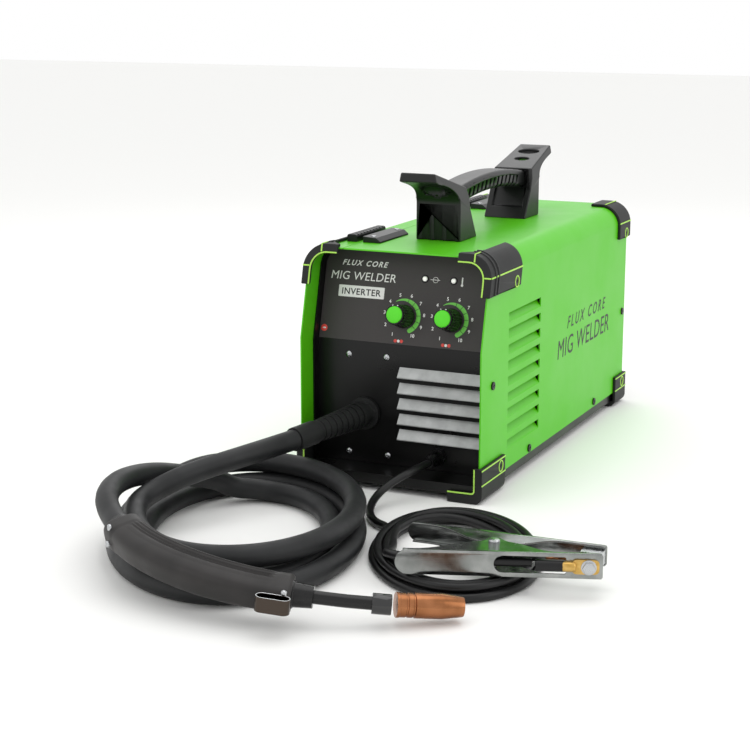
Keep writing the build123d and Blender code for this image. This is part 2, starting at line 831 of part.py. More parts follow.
# ------------------------------------------------------------------ cooling fan
with BuildPart() as fan_frame:
    with BuildSketch(cross_plane(rear_panel_y - 2.0)):
        with Locations((fan_x, fan_z)):
            RectangleRounded(92.0, 92.0, 4.0)
            Circle(fan_r + 1.5, mode=Mode.SUBTRACT)
    extrude(amount=25.0)
    with BuildSketch(cross_plane(rear_panel_y - 2.0)):
        with Locations((fan_x, fan_z)):
            Rectangle(2 * fan_r + 6, 5.0)
            Rectangle(5.0, 2 * fan_r + 6)
            Circle(17.0)
    extrude(amount=3.0)
    with BuildSketch(cross_plane(rear_panel_y - 2.0)):
        with Locations((fan_x, fan_z)):
            Circle(2.0)
    extrude(amount=21.0)
save(fan_frame.part, "fan_frame")

with BuildPart() as fan_rotor:
    with BuildSketch(cross_plane(rear_panel_y - 6.0)):
        with Locations((fan_x, fan_z)):
            Circle(17.0)
    extrude(amount=18.0)
    with BuildSketch(cross_plane(rear_panel_y - 7.0)):
        with Locations((fan_x, fan_z)):
            with PolarLocations(0, 7):
                with Locations((29.0, 0)):
                    Rectangle(26.0, 9.0, rotation=20)
    extrude(amount=14.0)
    with BuildSketch(cross_plane(rear_panel_y - 5.0)):
        with Locations((fan_x, fan_z)):
            Circle(2.0 + shaft_gap)
    extrude(amount=24.0, mode=Mode.SUBTRACT)
save(fan_rotor.part, "fan_rotor")

# ------------------------------------------------------------------ wire spool
spool_mid_x = divider_x - 12.0 - spool_width / 2
spool_low_x = spool_mid_x - spool_width / 2
spool_plane = Plane(origin=(0, spool_y, spool_z), x_dir=(0, 1, 0), z_dir=(1, 0, 0))
with BuildPart() as wire_spool:
    for x in (spool_low_x, spool_low_x + spool_width - 3.0):
        with BuildSketch(spool_plane.offset(x)):
            Circle(spool_r)
            with PolarLocations(0, 6):
                with Locations((62.0, 0)):
                    SlotOverall(34.0, 14.0, rotation=90, mode=Mode.SUBTRACT)
        extrude(amount=3.0)
    with BuildSketch(spool_plane.offset(spool_low_x)):
        Circle(45.0)
    extrude(amount=spool_width)
    with BuildSketch(spool_plane.offset(spool_low_x)):
        Circle(spindle_r + shaft_gap)
    extrude(amount=spool_width, mode=Mode.SUBTRACT)
save(wire_spool.part, "wire_spool")

with BuildPart() as wire_winding:
    with BuildSketch(spool_plane.offset(spool_low_x + 3.1)):
        Circle(86.0)
        Circle(45.1, mode=Mode.SUBTRACT)
    extrude(amount=spool_width - 6.2)
save(wire_winding.part, "wire_winding")

with BuildPart() as spool_spindle:
    with BuildSketch(spool_plane.offset(divider_x - 0.1)):
        Circle(38.0)
    extrude(amount=-8.0)
    with BuildSketch(spool_plane.offset(divider_x - 8.0)):
        Circle(spindle_r)
    extrude(amount=-(spool_width + 5.0))
    with BuildSketch(spool_plane.offset(divider_x - 14.0 - spool_width)):
        Circle(6.0 + shaft_gap)
    extrude(amount=30.0, mode=Mode.SUBTRACT)
save(spool_spindle.part, "spool_spindle")

nut_x = divider_x - 8.0 - spool_width - 5.0
with BuildPart() as spool_nut:
    with BuildSketch(spool_plane.offset(nut_x - 0.4)):
        Circle(31.0)
        with PolarLocations(33.0, 8):
            Circle(6.0, mode=Mode.SUBTRACT)
    extrude(amount=-7.0)
    with BuildSketch(spool_plane.offset(nut_x - 0.4)):
        Circle(6.0)
    extrude(amount=20.0)
save(spool_nut.part, "spool_nut")

# ------------------------------------------------------------------ wire feeder
feed_x = divider_x - 0.1
roll_mid_x = divider_x - 22.0
feed_plane = Plane.YZ
press_roll_z = roll_z + 2 * roll_r + 0.4
with BuildPart() as feed_plate:
    with BuildSketch(feed_plane.offset(feed_x)):
        with Locations((roll_y, roll_z + 5)):
            RectangleRounded(88.0, 74.0, 6.0)
    extrude(amount=-9.0)
    for y in (roll_y - 36.0, roll_y + 30.0):
        with BuildSketch(feed_plane.offset(feed_x - 9.0)):
            with Locations((y, roll_z + roll_r)):
                Rectangle(12.0, 12.0)
        extrude(amount=-20.0)
    with BuildSketch(cross_plane(roll_y + 60.0)):
        with Locations((roll_mid_x, roll_z + roll_r + 0.2)):
            Circle(3.0 + shaft_gap)
    extrude(amount=120.0, mode=Mode.SUBTRACT)
    with BuildSketch(feed_plane.offset(feed_x + 1)):
        with Locations((roll_y, roll_z)):
            Circle(8.0)
    extrude(amount=-12.0, mode=Mode.SUBTRACT)
    with BuildSketch(feed_plane.offset(feed_x - 9.0)):
        with Locations((roll_y + 33.0, roll_z + 32.0)):
            Circle(3.5)
    extrude(amount=-26.0)
    for y_low, y_high in ((roll_y - 60.0, roll_y - 14.5), (roll_y + 14.5, roll_y + 52.0)):
        with BuildSketch(cross_plane(y_high)):
            with Locations((roll_mid_x, roll_z + roll_r + 0.2)):
                Circle(3.0)
                Circle(1.0, mode=Mode.SUBTRACT)
        extrude(amount=y_high - y_low)
save(feed_plate.part, "feed_plate")

with BuildPart() as drive_roll:
    with BuildSketch(feed_plane.offset(roll_mid_x - roll_width / 2)):
        with Locations((roll_y, roll_z)):
            Circle(roll_r)
    extrude(amount=roll_width)
    with BuildSketch(feed_plane.offset(roll_mid_x - roll_width / 2)):
        with Locations((roll_y, roll_z)):
            Circle(7.0)
    extrude(amount=-3.0)
    with BuildSketch(feed_plane.offset(roll_mid_x)):
        with Locations((roll_y, roll_z)):
            Circle(5.0)
    extrude(amount=divider_x + 14.0 - roll_mid_x)
save(drive_roll.part, "drive_roll")

with BuildPart() as feed_motor:
    with BuildSketch(feed_plane.offset(divider_x + sheet + 0.2)):
        with Locations((roll_y, roll_z)):
            Circle(21.0)
    extrude(amount=30.0)
    with BuildSketch(feed_plane.offset(divider_x + sheet + 30.2)):
        with Locations((roll_y, roll_z)):
            Circle(18.0)
    extrude(amount=42.0)
    with BuildSketch(feed_plane.offset(divider_x)):
        with Locations((roll_y, roll_z)):
            Circle(5.0 + shaft_gap)
    extrude(amount=18.0, mode=Mode.SUBTRACT)
save(feed_motor.part, "feed_motor")

pivot_y, pivot_z = roll_y + 33.0, roll_z + 32.0
with BuildPart() as pressure_arm:
    for x in (roll_mid_x - roll_width / 2 - 5.0, roll_mid_x + roll_width / 2 + 1.0):
        with BuildSketch(feed_plane.offset(x)):
            with BuildLine():
                Polyline(
                    (pivot_y + 6.5, pivot_z - 6),
                    (pivot_y + 6.5, pivot_z + 6),
                    (roll_y, press_roll_z + 11),
                    (roll_y - 34, press_roll_z + 11),
                    (roll_y - 34, press_roll_z + 3),
                    (roll_y, press_roll_z - 5),
                    (pivot_y - 5, pivot_z - 7),
                    close=True,
                )
            make_face()
            with Locations((pivot_y, pivot_z)):
                Circle(3.5 + shaft_gap, mode=Mode.SUBTRACT)
        extrude(amount=4.0)
    with BuildSketch(feed_plane.offset(roll_mid_x - roll_width / 2 - 5.0)):
        with Locations((roll_y - 28.0, press_roll_z + 7.0)):
            Rectangle(12.0, 8.0)
    extrude(amount=roll_width + 10.0)
    with BuildSketch(feed_plane.offset(roll_mid_x - roll_width / 2 - 5.0)):
        with Locations((roll_y, press_roll_z)):
            Circle(2.5)
    extrude(amount=roll_width + 10.0)
    with BuildSketch(Plane.XY.offset(press_roll_z)):
        with Locations((roll_mid_x, roll_y - 28.0)):
            Circle(2.5 + shaft_gap)
    extrude(amount=20.0, mode=Mode.SUBTRACT)
save(pressure_arm.part, "pressure_arm")

with BuildPart() as pressure_roll:
    with BuildSketch(feed_plane.offset(roll_mid_x - roll_width / 2)):
        with Locations((roll_y, press_roll_z)):
            Circle(roll_r)
            Circle(2.5 + shaft_gap, mode=Mode.SUBTRACT)
    extrude(amount=roll_width)
save(pressure_roll.part, "pressure_roll")

with BuildPart() as tension_knob:
    with BuildSketch(Plane.XY.offset(press_roll_z + 1.0)):
        with Locations((roll_mid_x, roll_y - 28.0)):
            Circle(2.5)
    extrude(amount=34.0)
    with BuildSketch(Plane.XY.offset(press_roll_z + 22.0)):
        with Locations((roll_mid_x, roll_y - 28.0)):
            Circle(9.0)
    extrude(amount=20.0)
    with BuildSketch(Plane.XY.offset(press_roll_z + 11.6)):
        with Locations((roll_mid_x, roll_y - 28.0)):
            Circle(6.0)
    extrude(amount=11.0)
save(tension_knob.part, "tension_knob")

# ------------------------------------------------------------------ power electronics
board_x = 14.0
with BuildPart() as circuit_board:
    with BuildSketch(Plane.YZ.offset(board_x)):
        with Locations((50.0, 160.0)):
            Rectangle(200.0, 110.0)
    extrude(amount=1.6)
    for y, z, size, tall in ((-20.0, 185.0, 24.0, 30.0), (15.0, 185.0, 24.0, 30.0), (110.0, 180.0, 30.0, 22.0)):
        with BuildSketch(Plane.YZ.offset(board_x + 1.6)):
            with Locations((y, z)):
                Circle(size / 2)
        extrude(amount=tall)
    with BuildSketch(Plane.YZ.offset(board_x + 1.6)):
        with Locations((70.0, 130.0)):
            Rectangle(36.0, 26.0)
    extrude(amount=24.0)
save(circuit_board.part, "circuit_board")

with BuildPart() as heatsink:
    with BuildSketch(Plane.YZ.offset(56.0)):
        with Locations((40.0, 150.0)):
            Rectangle(120.0, 90.0)
    extrude(amount=6.0)
    for step in range(12):
        with BuildSketch(Plane.YZ.offset(62.0)):
            with Locations((40.0, 150.0 - 41.0 + step * 7.45)):
                Rectangle(120.0, 2.0)
        extrude(amount=22.0)
save(heatsink.part, "heatsink")

with BuildPart() as transformer:
    with BuildSketch(Plane.XY.offset(foot_height + sheet + 0.1)):
        with Locations((42.0, 60.0)):
            Rectangle(64.0, 90.0)
    extrude(amount=70.0)
    with BuildSketch(Plane.XY.offset(foot_height + sheet + 12.0)):
        with Locations((42.0, 60.0)):
            RectangleRounded(78.0, 60.0, 8.0)
    extrude(amount=46.0)
save(transformer.part, "transformer")

# ------------------------------------------------------------------ gun hose
boot_turn = (-29.0, -98.0, -7.0)
boot_length = 104.0
boot_start = Vector(boot_x, panel_y - 4.0, boot_z)
boot_axis = Vector(*boot_turn).normalized()
boot_end = boot_start + boot_axis * boot_length
boot_plane = Plane(origin=tuple(boot_start), x_dir=(1, 0, 0), z_dir=tuple(boot_axis))
with BuildPart() as hose_boot:
    with BuildSketch(cross_plane(panel_y + 12.0)):
        with Locations((boot_x, boot_z)):
            Circle(12.6)
    extrude(amount=12.5)
    with BuildSketch(cross_plane(panel_y - 0.1)):
        with Locations((boot_x, boot_z)):
            Circle(17.0)
    extrude(amount=5.0)
    with BuildSketch(boot_plane.offset(-3.0)):
        Circle(12.2)
    extrude(amount=80.0, taper=1.6)
    for step in range(9):
        with BuildSketch(boot_plane.offset(8.0 + step * 8.0)):
            Circle(14.0 - step * 0.38)
        extrude(amount=4.4)
    with BuildSketch(boot_plane.offset(76.0)):
        Circle(12.2)
    extrude(amount=boot_length - 76.0)
save(hose_boot.part, "hose_boot")

# The hose leaves the boot, drops onto its loose oval coil and comes off the top of it to the gun.
coil_turn = 115.0  # direction of both coils' long axes, degrees from +X
hose_coil_x, hose_coil_y = -64.0, -438.0
hose_coil_size = (182.0, 122.0)
hose_hole_size = (112.0, 78.0)
hose_hole_shift = -23.0
hose_coil_height = 44.0
hose_lead_points = [
    tuple(boot_end),
    (-87.0, -350.0, 61.5),
    (-108.0, -391.0, 57.0),
    (-134.0, -428.0, 49.0),
    (-151.0, -469.0, 36.0),
]
hose_tail_points = [
    (-150.0, -385.0, 38.0),
    (-163.0, -425.0, 50.0),
    (-168.0, -470.0, 56.0),
    (-158.0, -513.0, 55.5),
    (-133.0, -549.0, 51.0),
    (-100.6, -575.9, 46.2),
]
cable_coil_x, cable_coil_y = 141.0, -403.0
cable_coil_size = (116.0, 80.0)
cable_hole_size = (90.0, 54.0)
cable_coil_height = 16.0
cable_lead_points = [
    (gland_x, panel_y - 26.0, gland_z),
    (35.0, -254.0, 31.5),
    (21.0, -272.0, 24.0),
    (11.0, -294.0, 13.0),
    (16.0, -322.0, 6.0),
    (34.0, -349.0, 5.0),
    (60.0, -379.0, 7.0),
]
cable_tail_points = [
    (92.0, -430.0, 10.0),
    (96.0, -455.0, 16.0),
    (107.0, -477.0, 24.0),
    (128.0, -490.0, 28.0),
    (153.0, -488.0, 28.5),
    (178.0, -478.5, 27.5),
    (205.0, -469.5, 28.5),
    (233.0, -457.5, 28.0),
]


def bend_radii(points):
    """Arc radius at each corner of a route: 0.45 of the shorter run over the tangent of half the turn."""
    corners = [Vector(*point) for point in points]
    radii = []
    for before, corner, after in zip(corners, corners[1:], corners[2:]):
        turn = math.radians((corner - before).get_angle(after - corner))
        shorter = min((corner - before).length, (after - corner).length)
        radii.append(0.45 * shorter / math.tan(turn / 2))
    return radii


def tube(points, radius):
    """Cord stretch: straight runs joined by tangent arcs, swept with a round section."""
    with BuildLine() as route:
        FilletPolyline(*points, radius=bend_radii(points))
    with BuildPart() as cord:
        with BuildSketch(Plane(origin=route.line @ 0, z_dir=route.line % 0)):
            Circle(radius)
        sweep(path=route.line)
    return cord.part


def oval(x, y, size, mode=Mode.ADD):
    """Ellipse on the current sketch whose long axis is turned to coil_turn."""
    with Locations(Location((x, y, 0), (0, 0, coil_turn))):
        Ellipse(*size, mode=mode)


# ------------------------------------------------------------------ gun
gun_plane = Plane(origin=(0, -600, 35.7), x_dir=(1, 0, -0.107), z_dir=(0.107, 0.018, 1))
handle_turn_r = 187.0  # radius of the handle's bowed centreline
handle_turn_mid = (20.7, 166.9)
handle_rear_angle, handle_front_angle = -130.2, -70.2
handle_half_width = 17.0
handle_half_thick = 14.0
trigger_gap = 2.6
trigger_deep = 12.9


def on_bow(angle, radius):
    """Point on the gun's plane at an angle and radius about the handle's bow centre."""
    turn = math.radians(angle)
    return (
        handle_turn_mid[0] + radius * math.cos(turn),
        handle_turn_mid[1] + radius * math.sin(turn),
    )


def bow_sector(inner, outer, start, end):
    """Closed outline between two radii and two angles of the handle's bow."""
    middle = (start + end) / 2
    with BuildLine() as edge:
        ThreePointArc(on_bow(start, inner), on_bow(middle, inner), on_bow(end, inner))
        Line(on_bow(end, inner), on_bow(end, outer))
        ThreePointArc(on_bow(end, outer), on_bow(middle, outer), on_bow(start, outer))
        Line(on_bow(start, outer), on_bow(start, inner))
    make_face(edge.edges())


pivot_angle = -72.0
pivot_r = handle_turn_r + handle_half_width + 5.5
with BuildPart() as gun_handle:
    with BuildSketch(gun_plane):
        bow_sector(
            handle_turn_r - handle_half_width,
            handle_turn_r + handle_half_width,
            handle_rear_angle,
            handle_front_angle,
        )
    extrude(amount=handle_half_thick, both=True)
    fillet(gun_handle.edges().group_by(SortBy.LENGTH)[-1], radius=8.0)
    for side in (-1, 1):
        with BuildSketch(gun_plane.offset(side * 8.5 - 1.5)):
            bow_sector(handle_turn_r + 6, pivot_r + 4.0, pivot_angle - 1.2, pivot_angle + 1.2)
            with Locations(on_bow(pivot_angle, pivot_r)):
                Circle(1.5 + shaft_gap, mode=Mode.SUBTRACT)
        extrude(amount=3.0)
save(gun_handle.part, "gun_handle")

trigger_r = handle_turn_r + handle_half_width + trigger_gap
with BuildPart() as gun_trigger:
    with BuildSketch(gun_plane):
        bow_sector(trigger_r + 1.2, trigger_r + trigger_deep, pivot_angle - 8.5, pivot_angle + 0.8)
    extrude(amount=6.5, both=True)
    with BuildSketch(gun_plane):
        with Locations(on_bow(pivot_angle, pivot_r)):
            Circle(1.5)
    extrude(amount=9.8, both=True)
save(gun_trigger.part, "gun_trigger")

neck_points_local = [on_bow(handle_front_angle, handle_turn_r), (104.0, -2.0), (124.0, 6.0), (146.0, 17.0)]
neck_r = 5.5
nozzle_axis = Vector(208.0 - 160.0, 59.0 - 26.0, 0).normalized()
collar_plane_x = Vector(20.0, 7.2, 0).normalized()


def gun_axis_plane(x, y, heading):
    """Plane across the gun at a point of its own plane, facing along heading."""
    origin = gun_plane.from_local_coords(Vector(x, y, 0))
    ahead = gun_plane.from_local_coords(Vector(x, y, 0) + heading)
    return Plane(origin=origin, x_dir=gun_plane.z_dir, z_dir=ahead - origin)


front_point = on_bow(handle_front_angle, handle_turn_r)
with BuildPart() as gun_neck:
    with BuildLine() as neck_line:
        FilletPolyline(
            *[gun_plane.from_local_coords(Vector(x, y, 0)) for x, y in neck_points_local],
            radius=[60.0, 60.0],
        )
    with BuildSketch(Plane(origin=neck_line.line @ 0, z_dir=neck_line.line % 0)):
        Circle(neck_r)
    sweep(path=neck_line.line)
    with BuildSketch(gun_axis_plane(*front_point, collar_plane_x).offset(0.1)):
        Circle(10.5)
    extrude(amount=17.0, taper=4)
save(gun_neck.part, "gun_neck")

neck_heading = Vector(146.0 - 124.0, 17.0 - 6.0, 0).normalized()
with BuildPart() as gun_insulator:
    with BuildSketch(gun_axis_plane(146.0, 17.0, neck_heading).offset(-3.0)):
        Circle(8.6)
        Circle(neck_r + 0.02, mode=Mode.SUBTRACT)
    extrude(amount=3.0)
    with BuildSketch(gun_axis_plane(146.0, 17.0, neck_heading).offset(0.05)):
        Circle(8.6)
        Circle(3.2, mode=Mode.SUBTRACT)
    extrude(amount=13.0)
save(gun_insulator.part, "gun_insulator")

nozzle_base = gun_axis_plane(160.0, 25.5, nozzle_axis)
with BuildPart() as gun_nozzle:
    with BuildSketch(nozzle_base):
        Circle(10.5)
        Circle(8.4, mode=Mode.SUBTRACT)
    extrude(amount=38.0)
    with BuildSketch(nozzle_base.offset(38.0)):
        Circle(10.5)
    with BuildSketch(nozzle_base.offset(56.0)):
        Circle(8.2)
    loft()
    with BuildSketch(nozzle_base.offset(30.0)):
        Circle(7.0)
    extrude(amount=40.0, mode=Mode.SUBTRACT)
save(gun_nozzle.part, "gun_nozzle")

with BuildPart() as contact_tip:
    with BuildSketch(nozzle_base.offset(2.0)):
        Circle(5.0)
    extrude(amount=24.0)
    with BuildSketch(nozzle_base.offset(26.0)):
        Circle(3.0)
    extrude(amount=24.0, taper=2)
    with BuildSketch(nozzle_base.offset(54.0)):
        Circle(0.5)
    extrude(amount=-25.0, mode=Mode.SUBTRACT)
save(contact_tip.part, "contact_tip")

# ------------------------------------------------------------------ cords
hose_lead = tube(hose_lead_points, hose_r)
hose_tail = tube(hose_tail_points, hose_r)
with BuildPart() as gun_hose:
    add(hose_lead)
    add(hose_tail)
save(gun_hose.part, "gun_hose")

hole_shift = (
    hose_hole_shift * math.cos(math.radians(coil_turn)),
    hose_hole_shift * math.sin(math.radians(coil_turn)),
)
hole_x = hose_coil_x + hole_shift[0]
hole_y = hose_coil_y + hole_shift[1]
with BuildPart() as gun_hose_coil:
    with BuildSketch(Plane.XY):
        oval(hose_coil_x, hose_coil_y, hose_coil_size)
        oval(hole_x, hole_y, hose_hole_size, Mode.SUBTRACT)
    extrude(amount=hose_coil_height)
    with BuildSketch(gun_plane.offset(-handle_half_thick - 1.0)):
        bow_sector(
            handle_turn_r - handle_half_width - 2,
            handle_turn_r + handle_half_width + 20,
            handle_rear_angle - 2,
            handle_front_angle,
        )
    extrude(amount=60.0, mode=Mode.SUBTRACT)
save(gun_hose_coil.part, "gun_hose_coil")

with BuildPart() as cable_gland:
    with BuildSketch(cross_plane(panel_y + 10.0)):
        with Locations((gland_x, gland_z)):
            Circle(6.9)
    extrude(amount=10.5)
    with BuildSketch(cross_plane(panel_y - 0.1)):
        with Locations((gland_x, gland_z)):
            RegularPolygon(9.5, 6)
    extrude(amount=6.0)
    with BuildSketch(cross_plane(panel_y - 6.1)):
        with Locations((gland_x, gland_z)):
            Circle(8.0)
    extrude(amount=19.9, taper=8)
save(cable_gland.part, "cable_gland")

cable_lead = tube(cable_lead_points, cable_r)
cable_tail = tube(cable_tail_points, cable_r)
with BuildPart() as ground_cable:
    add(cable_lead)
    add(cable_tail)
save(ground_cable.part, "ground_cable")

with BuildPart() as ground_cable_coil:
    with BuildSketch(Plane.XY):
        oval(cable_coil_x, cable_coil_y, cable_coil_size)
        oval(cable_coil_x, cable_coil_y, cable_hole_size, Mode.SUBTRACT)
    extrude(amount=cable_coil_height)
save(ground_cable_coil.part, "ground_cable_coil")

# ------------------------------------------------------------------ ground clamp
clamp_x, clamp_y = 195.3, -448.3
clamp_turn = 20.1  # fixed arm's direction, degrees from +X
clamp_spread = -17.4  # moving arm turned from the fixed arm at rest
clamp_low, clamp_high = 17.0, 39.0
clamp_sheet = 1.5
arm_rear, moving_rear, arm_front = -84.0, -90.0, 92.0
fixed_web, moving_web = -29.0, 31.0
fixed_jaw, moving_jaw = 11.0, 17.0  # how far each jaw stands inside its web
flange = 12.0
rivet_r = 3.0


def clamp_plane(z, turn=0.0):
    """Level plane at height z with its origin at the rivet and x along an arm."""
    direction = math.radians(clamp_turn + turn)
    return Plane(
        origin=(clamp_x, clamp_y, z),
        x_dir=(math.cos(direction), math.sin(direction), 0),
        z_dir=(0, 0, 1),
    )


def clamp_arm(web, rear, jaw, low, high, turn, window):
    """Channel-section arm: a tall web, two flanges, and two ears reaching the rivet."""
    side = -1 if web < 0 else 1
    length = arm_front - rear
    middle = (arm_front + rear) / 2
    with BuildPart() as arm:
        with BuildSketch(clamp_plane(low, turn)):
            with Locations((middle, web - side * flange / 2)):
                Rectangle(length, flange)
        extrude(amount=high - low)
        with BuildSketch(clamp_plane(low + clamp_sheet, turn)):
            with Locations((middle, web - side * (flange / 2 + clamp_sheet))):
                Rectangle(length + 2, flange)
        extrude(amount=high - low - 2 * clamp_sheet, mode=Mode.SUBTRACT)
        for z in (low, high - clamp_sheet):
            with BuildSketch(clamp_plane(z, turn)):
                with BuildLine():
                    Polyline(
                        (-34.0, web - side * clamp_sheet),
                        (34.0, web - side * clamp_sheet),
                        (9.0, side * 1.0),
                        (-9.0, side * 1.0),
                        close=True,
                    )
                make_face()
                Circle(9.0)
                Circle(rivet_r + shaft_gap, mode=Mode.SUBTRACT)
            extrude(amount=clamp_sheet)
        if window:
            origin = clamp_plane((low + high) / 2, turn)
            face = Plane(origin=origin.origin, x_dir=origin.x_dir, z_dir=origin.y_dir)
            with BuildSketch(face.offset(web)):
                with Locations((30.0, 0)):
                    SlotOverall(62.0, 14.0)
            extrude(amount=8.0, both=True, mode=Mode.SUBTRACT)
        with BuildSketch(clamp_plane(low + 3.0, turn)):
            with Locations((arm_front - 12.0, web - side * (1.5 + jaw / 2))):
                Rectangle(20.0, jaw)
        extrude(amount=high - low - 6.0)
    return arm.part


fixed_arm = clamp_arm(fixed_web, arm_rear, fixed_jaw, clamp_low, clamp_high, 0.0, True)
moving_arm = clamp_arm(
    moving_web, moving_rear, moving_jaw, clamp_low + 1.8, clamp_high - 1.8, clamp_spread, False
)
save(fixed_arm, "clamp_fixed_arm")
save(moving_arm, "clamp_moving_arm")

with BuildPart() as clamp_spring:
    with BuildSketch(clamp_plane(clamp_low - 0.8)):
        Circle(5.0)
    extrude(amount=0.7)
    with BuildSketch(clamp_plane(clamp_low - 0.8)):
        Circle(rivet_r)
    extrude(amount=clamp_high - clamp_low + 1.6)
    with BuildSketch(clamp_plane(clamp_high + 0.1)):
        Circle(5.0)
    extrude(amount=1.4)
    with BuildSketch(clamp_plane(clamp_low + 4.0)):
        Circle(7.5)
    extrude(amount=clamp_high - clamp_low - 8.0)
save(clamp_spring.part, "clamp_spring")

with BuildPart() as clamp_lug:
    lug_plane = clamp_plane((clamp_low + clamp_high) / 2)
    lug_face = Plane(origin=lug_plane.origin, x_dir=lug_plane.x_dir, z_dir=lug_plane.y_dir)
    with BuildSketch(lug_face.offset(fixed_web - 0.1)):
        with Locations((76.0, 0)):
            Rectangle(26.0, 13.0)
    extrude(amount=-2.0)
    with BuildSketch(lug_face.offset(fixed_web - 2.1)):
        with Locations((80.0, 0)):
            RegularPolygon(6.5, 6)
    extrude(amount=-4.0)
    with BuildSketch(lug_face.offset(fixed_web + 3.0)):
        with Locations((49.0, 0)):
            Rectangle(26.0, 10.0)
    extrude(amount=-5.0)
save(clamp_lug.part, "clamp_lug")
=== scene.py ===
"""Looks for a flux-core MIG welding machine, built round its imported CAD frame. Metres throughout."""

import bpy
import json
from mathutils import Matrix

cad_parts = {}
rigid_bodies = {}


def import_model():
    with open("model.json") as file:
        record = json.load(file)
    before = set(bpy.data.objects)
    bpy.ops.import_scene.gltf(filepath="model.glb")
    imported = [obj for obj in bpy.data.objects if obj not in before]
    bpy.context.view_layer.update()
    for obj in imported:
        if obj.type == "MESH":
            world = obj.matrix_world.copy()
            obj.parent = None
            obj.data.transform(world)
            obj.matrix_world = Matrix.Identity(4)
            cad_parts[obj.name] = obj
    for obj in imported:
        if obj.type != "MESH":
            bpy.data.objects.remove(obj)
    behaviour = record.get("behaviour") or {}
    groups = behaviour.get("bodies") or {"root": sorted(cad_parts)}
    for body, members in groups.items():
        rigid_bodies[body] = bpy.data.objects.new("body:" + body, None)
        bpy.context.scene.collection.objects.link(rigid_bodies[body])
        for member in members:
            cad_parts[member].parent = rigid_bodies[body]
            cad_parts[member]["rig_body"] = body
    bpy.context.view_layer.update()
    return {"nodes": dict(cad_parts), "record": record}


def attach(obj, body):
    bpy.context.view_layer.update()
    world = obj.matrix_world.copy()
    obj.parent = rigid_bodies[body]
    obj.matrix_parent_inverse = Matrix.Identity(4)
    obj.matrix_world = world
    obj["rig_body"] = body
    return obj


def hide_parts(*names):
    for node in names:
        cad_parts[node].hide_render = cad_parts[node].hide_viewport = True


bl_info = {
    "name": "MIG Welding Machine",
    "version": (1, 0, 0),
    "blender": (4, 5, 0),
    "location": "View3D > Sidebar > Welder",
    "description": "Builds the visible pieces of a MIG welding machine round its frame",
    "category": "Object",
}

import json
import math

import bmesh
import bpy
import numpy as np
from mathutils import Vector

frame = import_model()

MM = 0.001
LEAN = math.atan2(23.0, 92.0)  # the case's front leans back this much above its bend
CASE_FRONT, CASE_BEND = -240.0, 153.0  # front edge and the height where it starts to lean, mm
GUARD_PROUD = 4.0  # the corner guards stand this far out of the case's ends, mm
GUARD_SIDE, GUARD_TOP = 103.65, 248.65  # their side and top faces, mm
CROSS_X, CROSS_Z = 84.0, 226.0  # where the lime inlays cross the top and the side, mm
CLAMP_RIVET = np.array([195.3, -448.3, 0.0])  # mm, on the floor under it
UP = np.array([0.0, 0.0, 1.0])
SHEET = 1.5  # the clamp's sheet, mm
HANDLE_X, HANDLE_Y = 7.0, -11.0  # the carry handle's middle, mm
LABEL_ORIGIN = np.array([0.0, -0.204, 0.147])
LABEL_RIGHT = np.array([1.0, 0.0, 0.0])
LABEL_UP = np.array([0.0, math.sin(LEAN), math.cos(LEAN)])
LABEL_OUT = np.array([0.0, -math.cos(LEAN), math.sin(LEAN)])
GUN_ORIGIN = np.array([0.0, -0.600, 0.0357])
GUN_ALONG = np.array([1.0, 0.0, -0.107]) / math.hypot(1.0, 0.107)
GUN_UP = np.array([0.107, 0.018, 1.0]) / math.sqrt(0.107**2 + 0.018**2 + 1.0)
GUN_ACROSS = np.cross(GUN_UP, GUN_ALONG)
BOW_CENTRE = np.array([20.7, 166.9]) * MM  # centre of the gun handle's bow in the gun's plane
GUN_ROLL = math.radians(16.0)  # the handle rests tilted, its trigger side down


# ------------------------------------------------------------------ helpers
def linear(code):
    """sRGB hex to linear RGBA: each channel above 0.04045 is ((c + 0.055) / 1.055) to the power 2.4."""
    channels = [int(code[i : i + 2], 16) / 255 for i in (1, 3, 5)]
    return tuple(c / 12.92 if c <= 0.04045 else ((c + 0.055) / 1.055) ** 2.4 for c in channels) + (1.0,)


def add(tree, kind, links=(), inputs=(), **settings):
    """Adds one node, sets its fields and inputs, and links sockets into it. links are (input, socket)."""
    node = tree.nodes.new(kind)
    for field, value in settings.items():
        setattr(node, field, value)
    for key, value in inputs:
        node.inputs[key].default_value = value
    for key, socket in links:
        tree.links.new(socket, node.inputs[key])
    return node


def finish(name, colour, roughness, metallic=0.0, sockets=()):
    """A Principled material with constant sockets: returns it, its tree, shader and object coordinates."""
    material = bpy.data.materials.new(name)
    material.use_nodes = True
    tree = material.node_tree
    shader = tree.nodes["Principled BSDF"]
    shader.inputs["Base Color"].default_value = linear(colour)
    shader.inputs["Roughness"].default_value = roughness
    shader.inputs["Metallic"].default_value = metallic
    for key, value in sockets:
        shader.inputs[key].default_value = value
    material.diffuse_color = linear(colour)
    coords = add(tree, "ShaderNodeTexCoord").outputs["Object"]
    return material, tree, shader, coords


def vary(tree, shader, coords, colour, other, size_mm, spread=(0.35, 0.65), detail=3.0):
    """Mottles the colour between two near shades with noise of that size."""
    inputs = [("Scale", 1000.0 / size_mm), ("Detail", detail)]
    noise = add(tree, "ShaderNodeTexNoise", [("Vector", coords)], inputs)
    ramp = add(tree, "ShaderNodeValToRGB", [("Fac", noise.outputs["Fac"])])
    ramp.color_ramp.elements[0].position, ramp.color_ramp.elements[1].position = spread
    ramp.color_ramp.elements[0].color = linear(colour)
    ramp.color_ramp.elements[1].color = linear(other)
    tree.links.new(ramp.outputs["Color"], shader.inputs["Base Color"])
    return noise


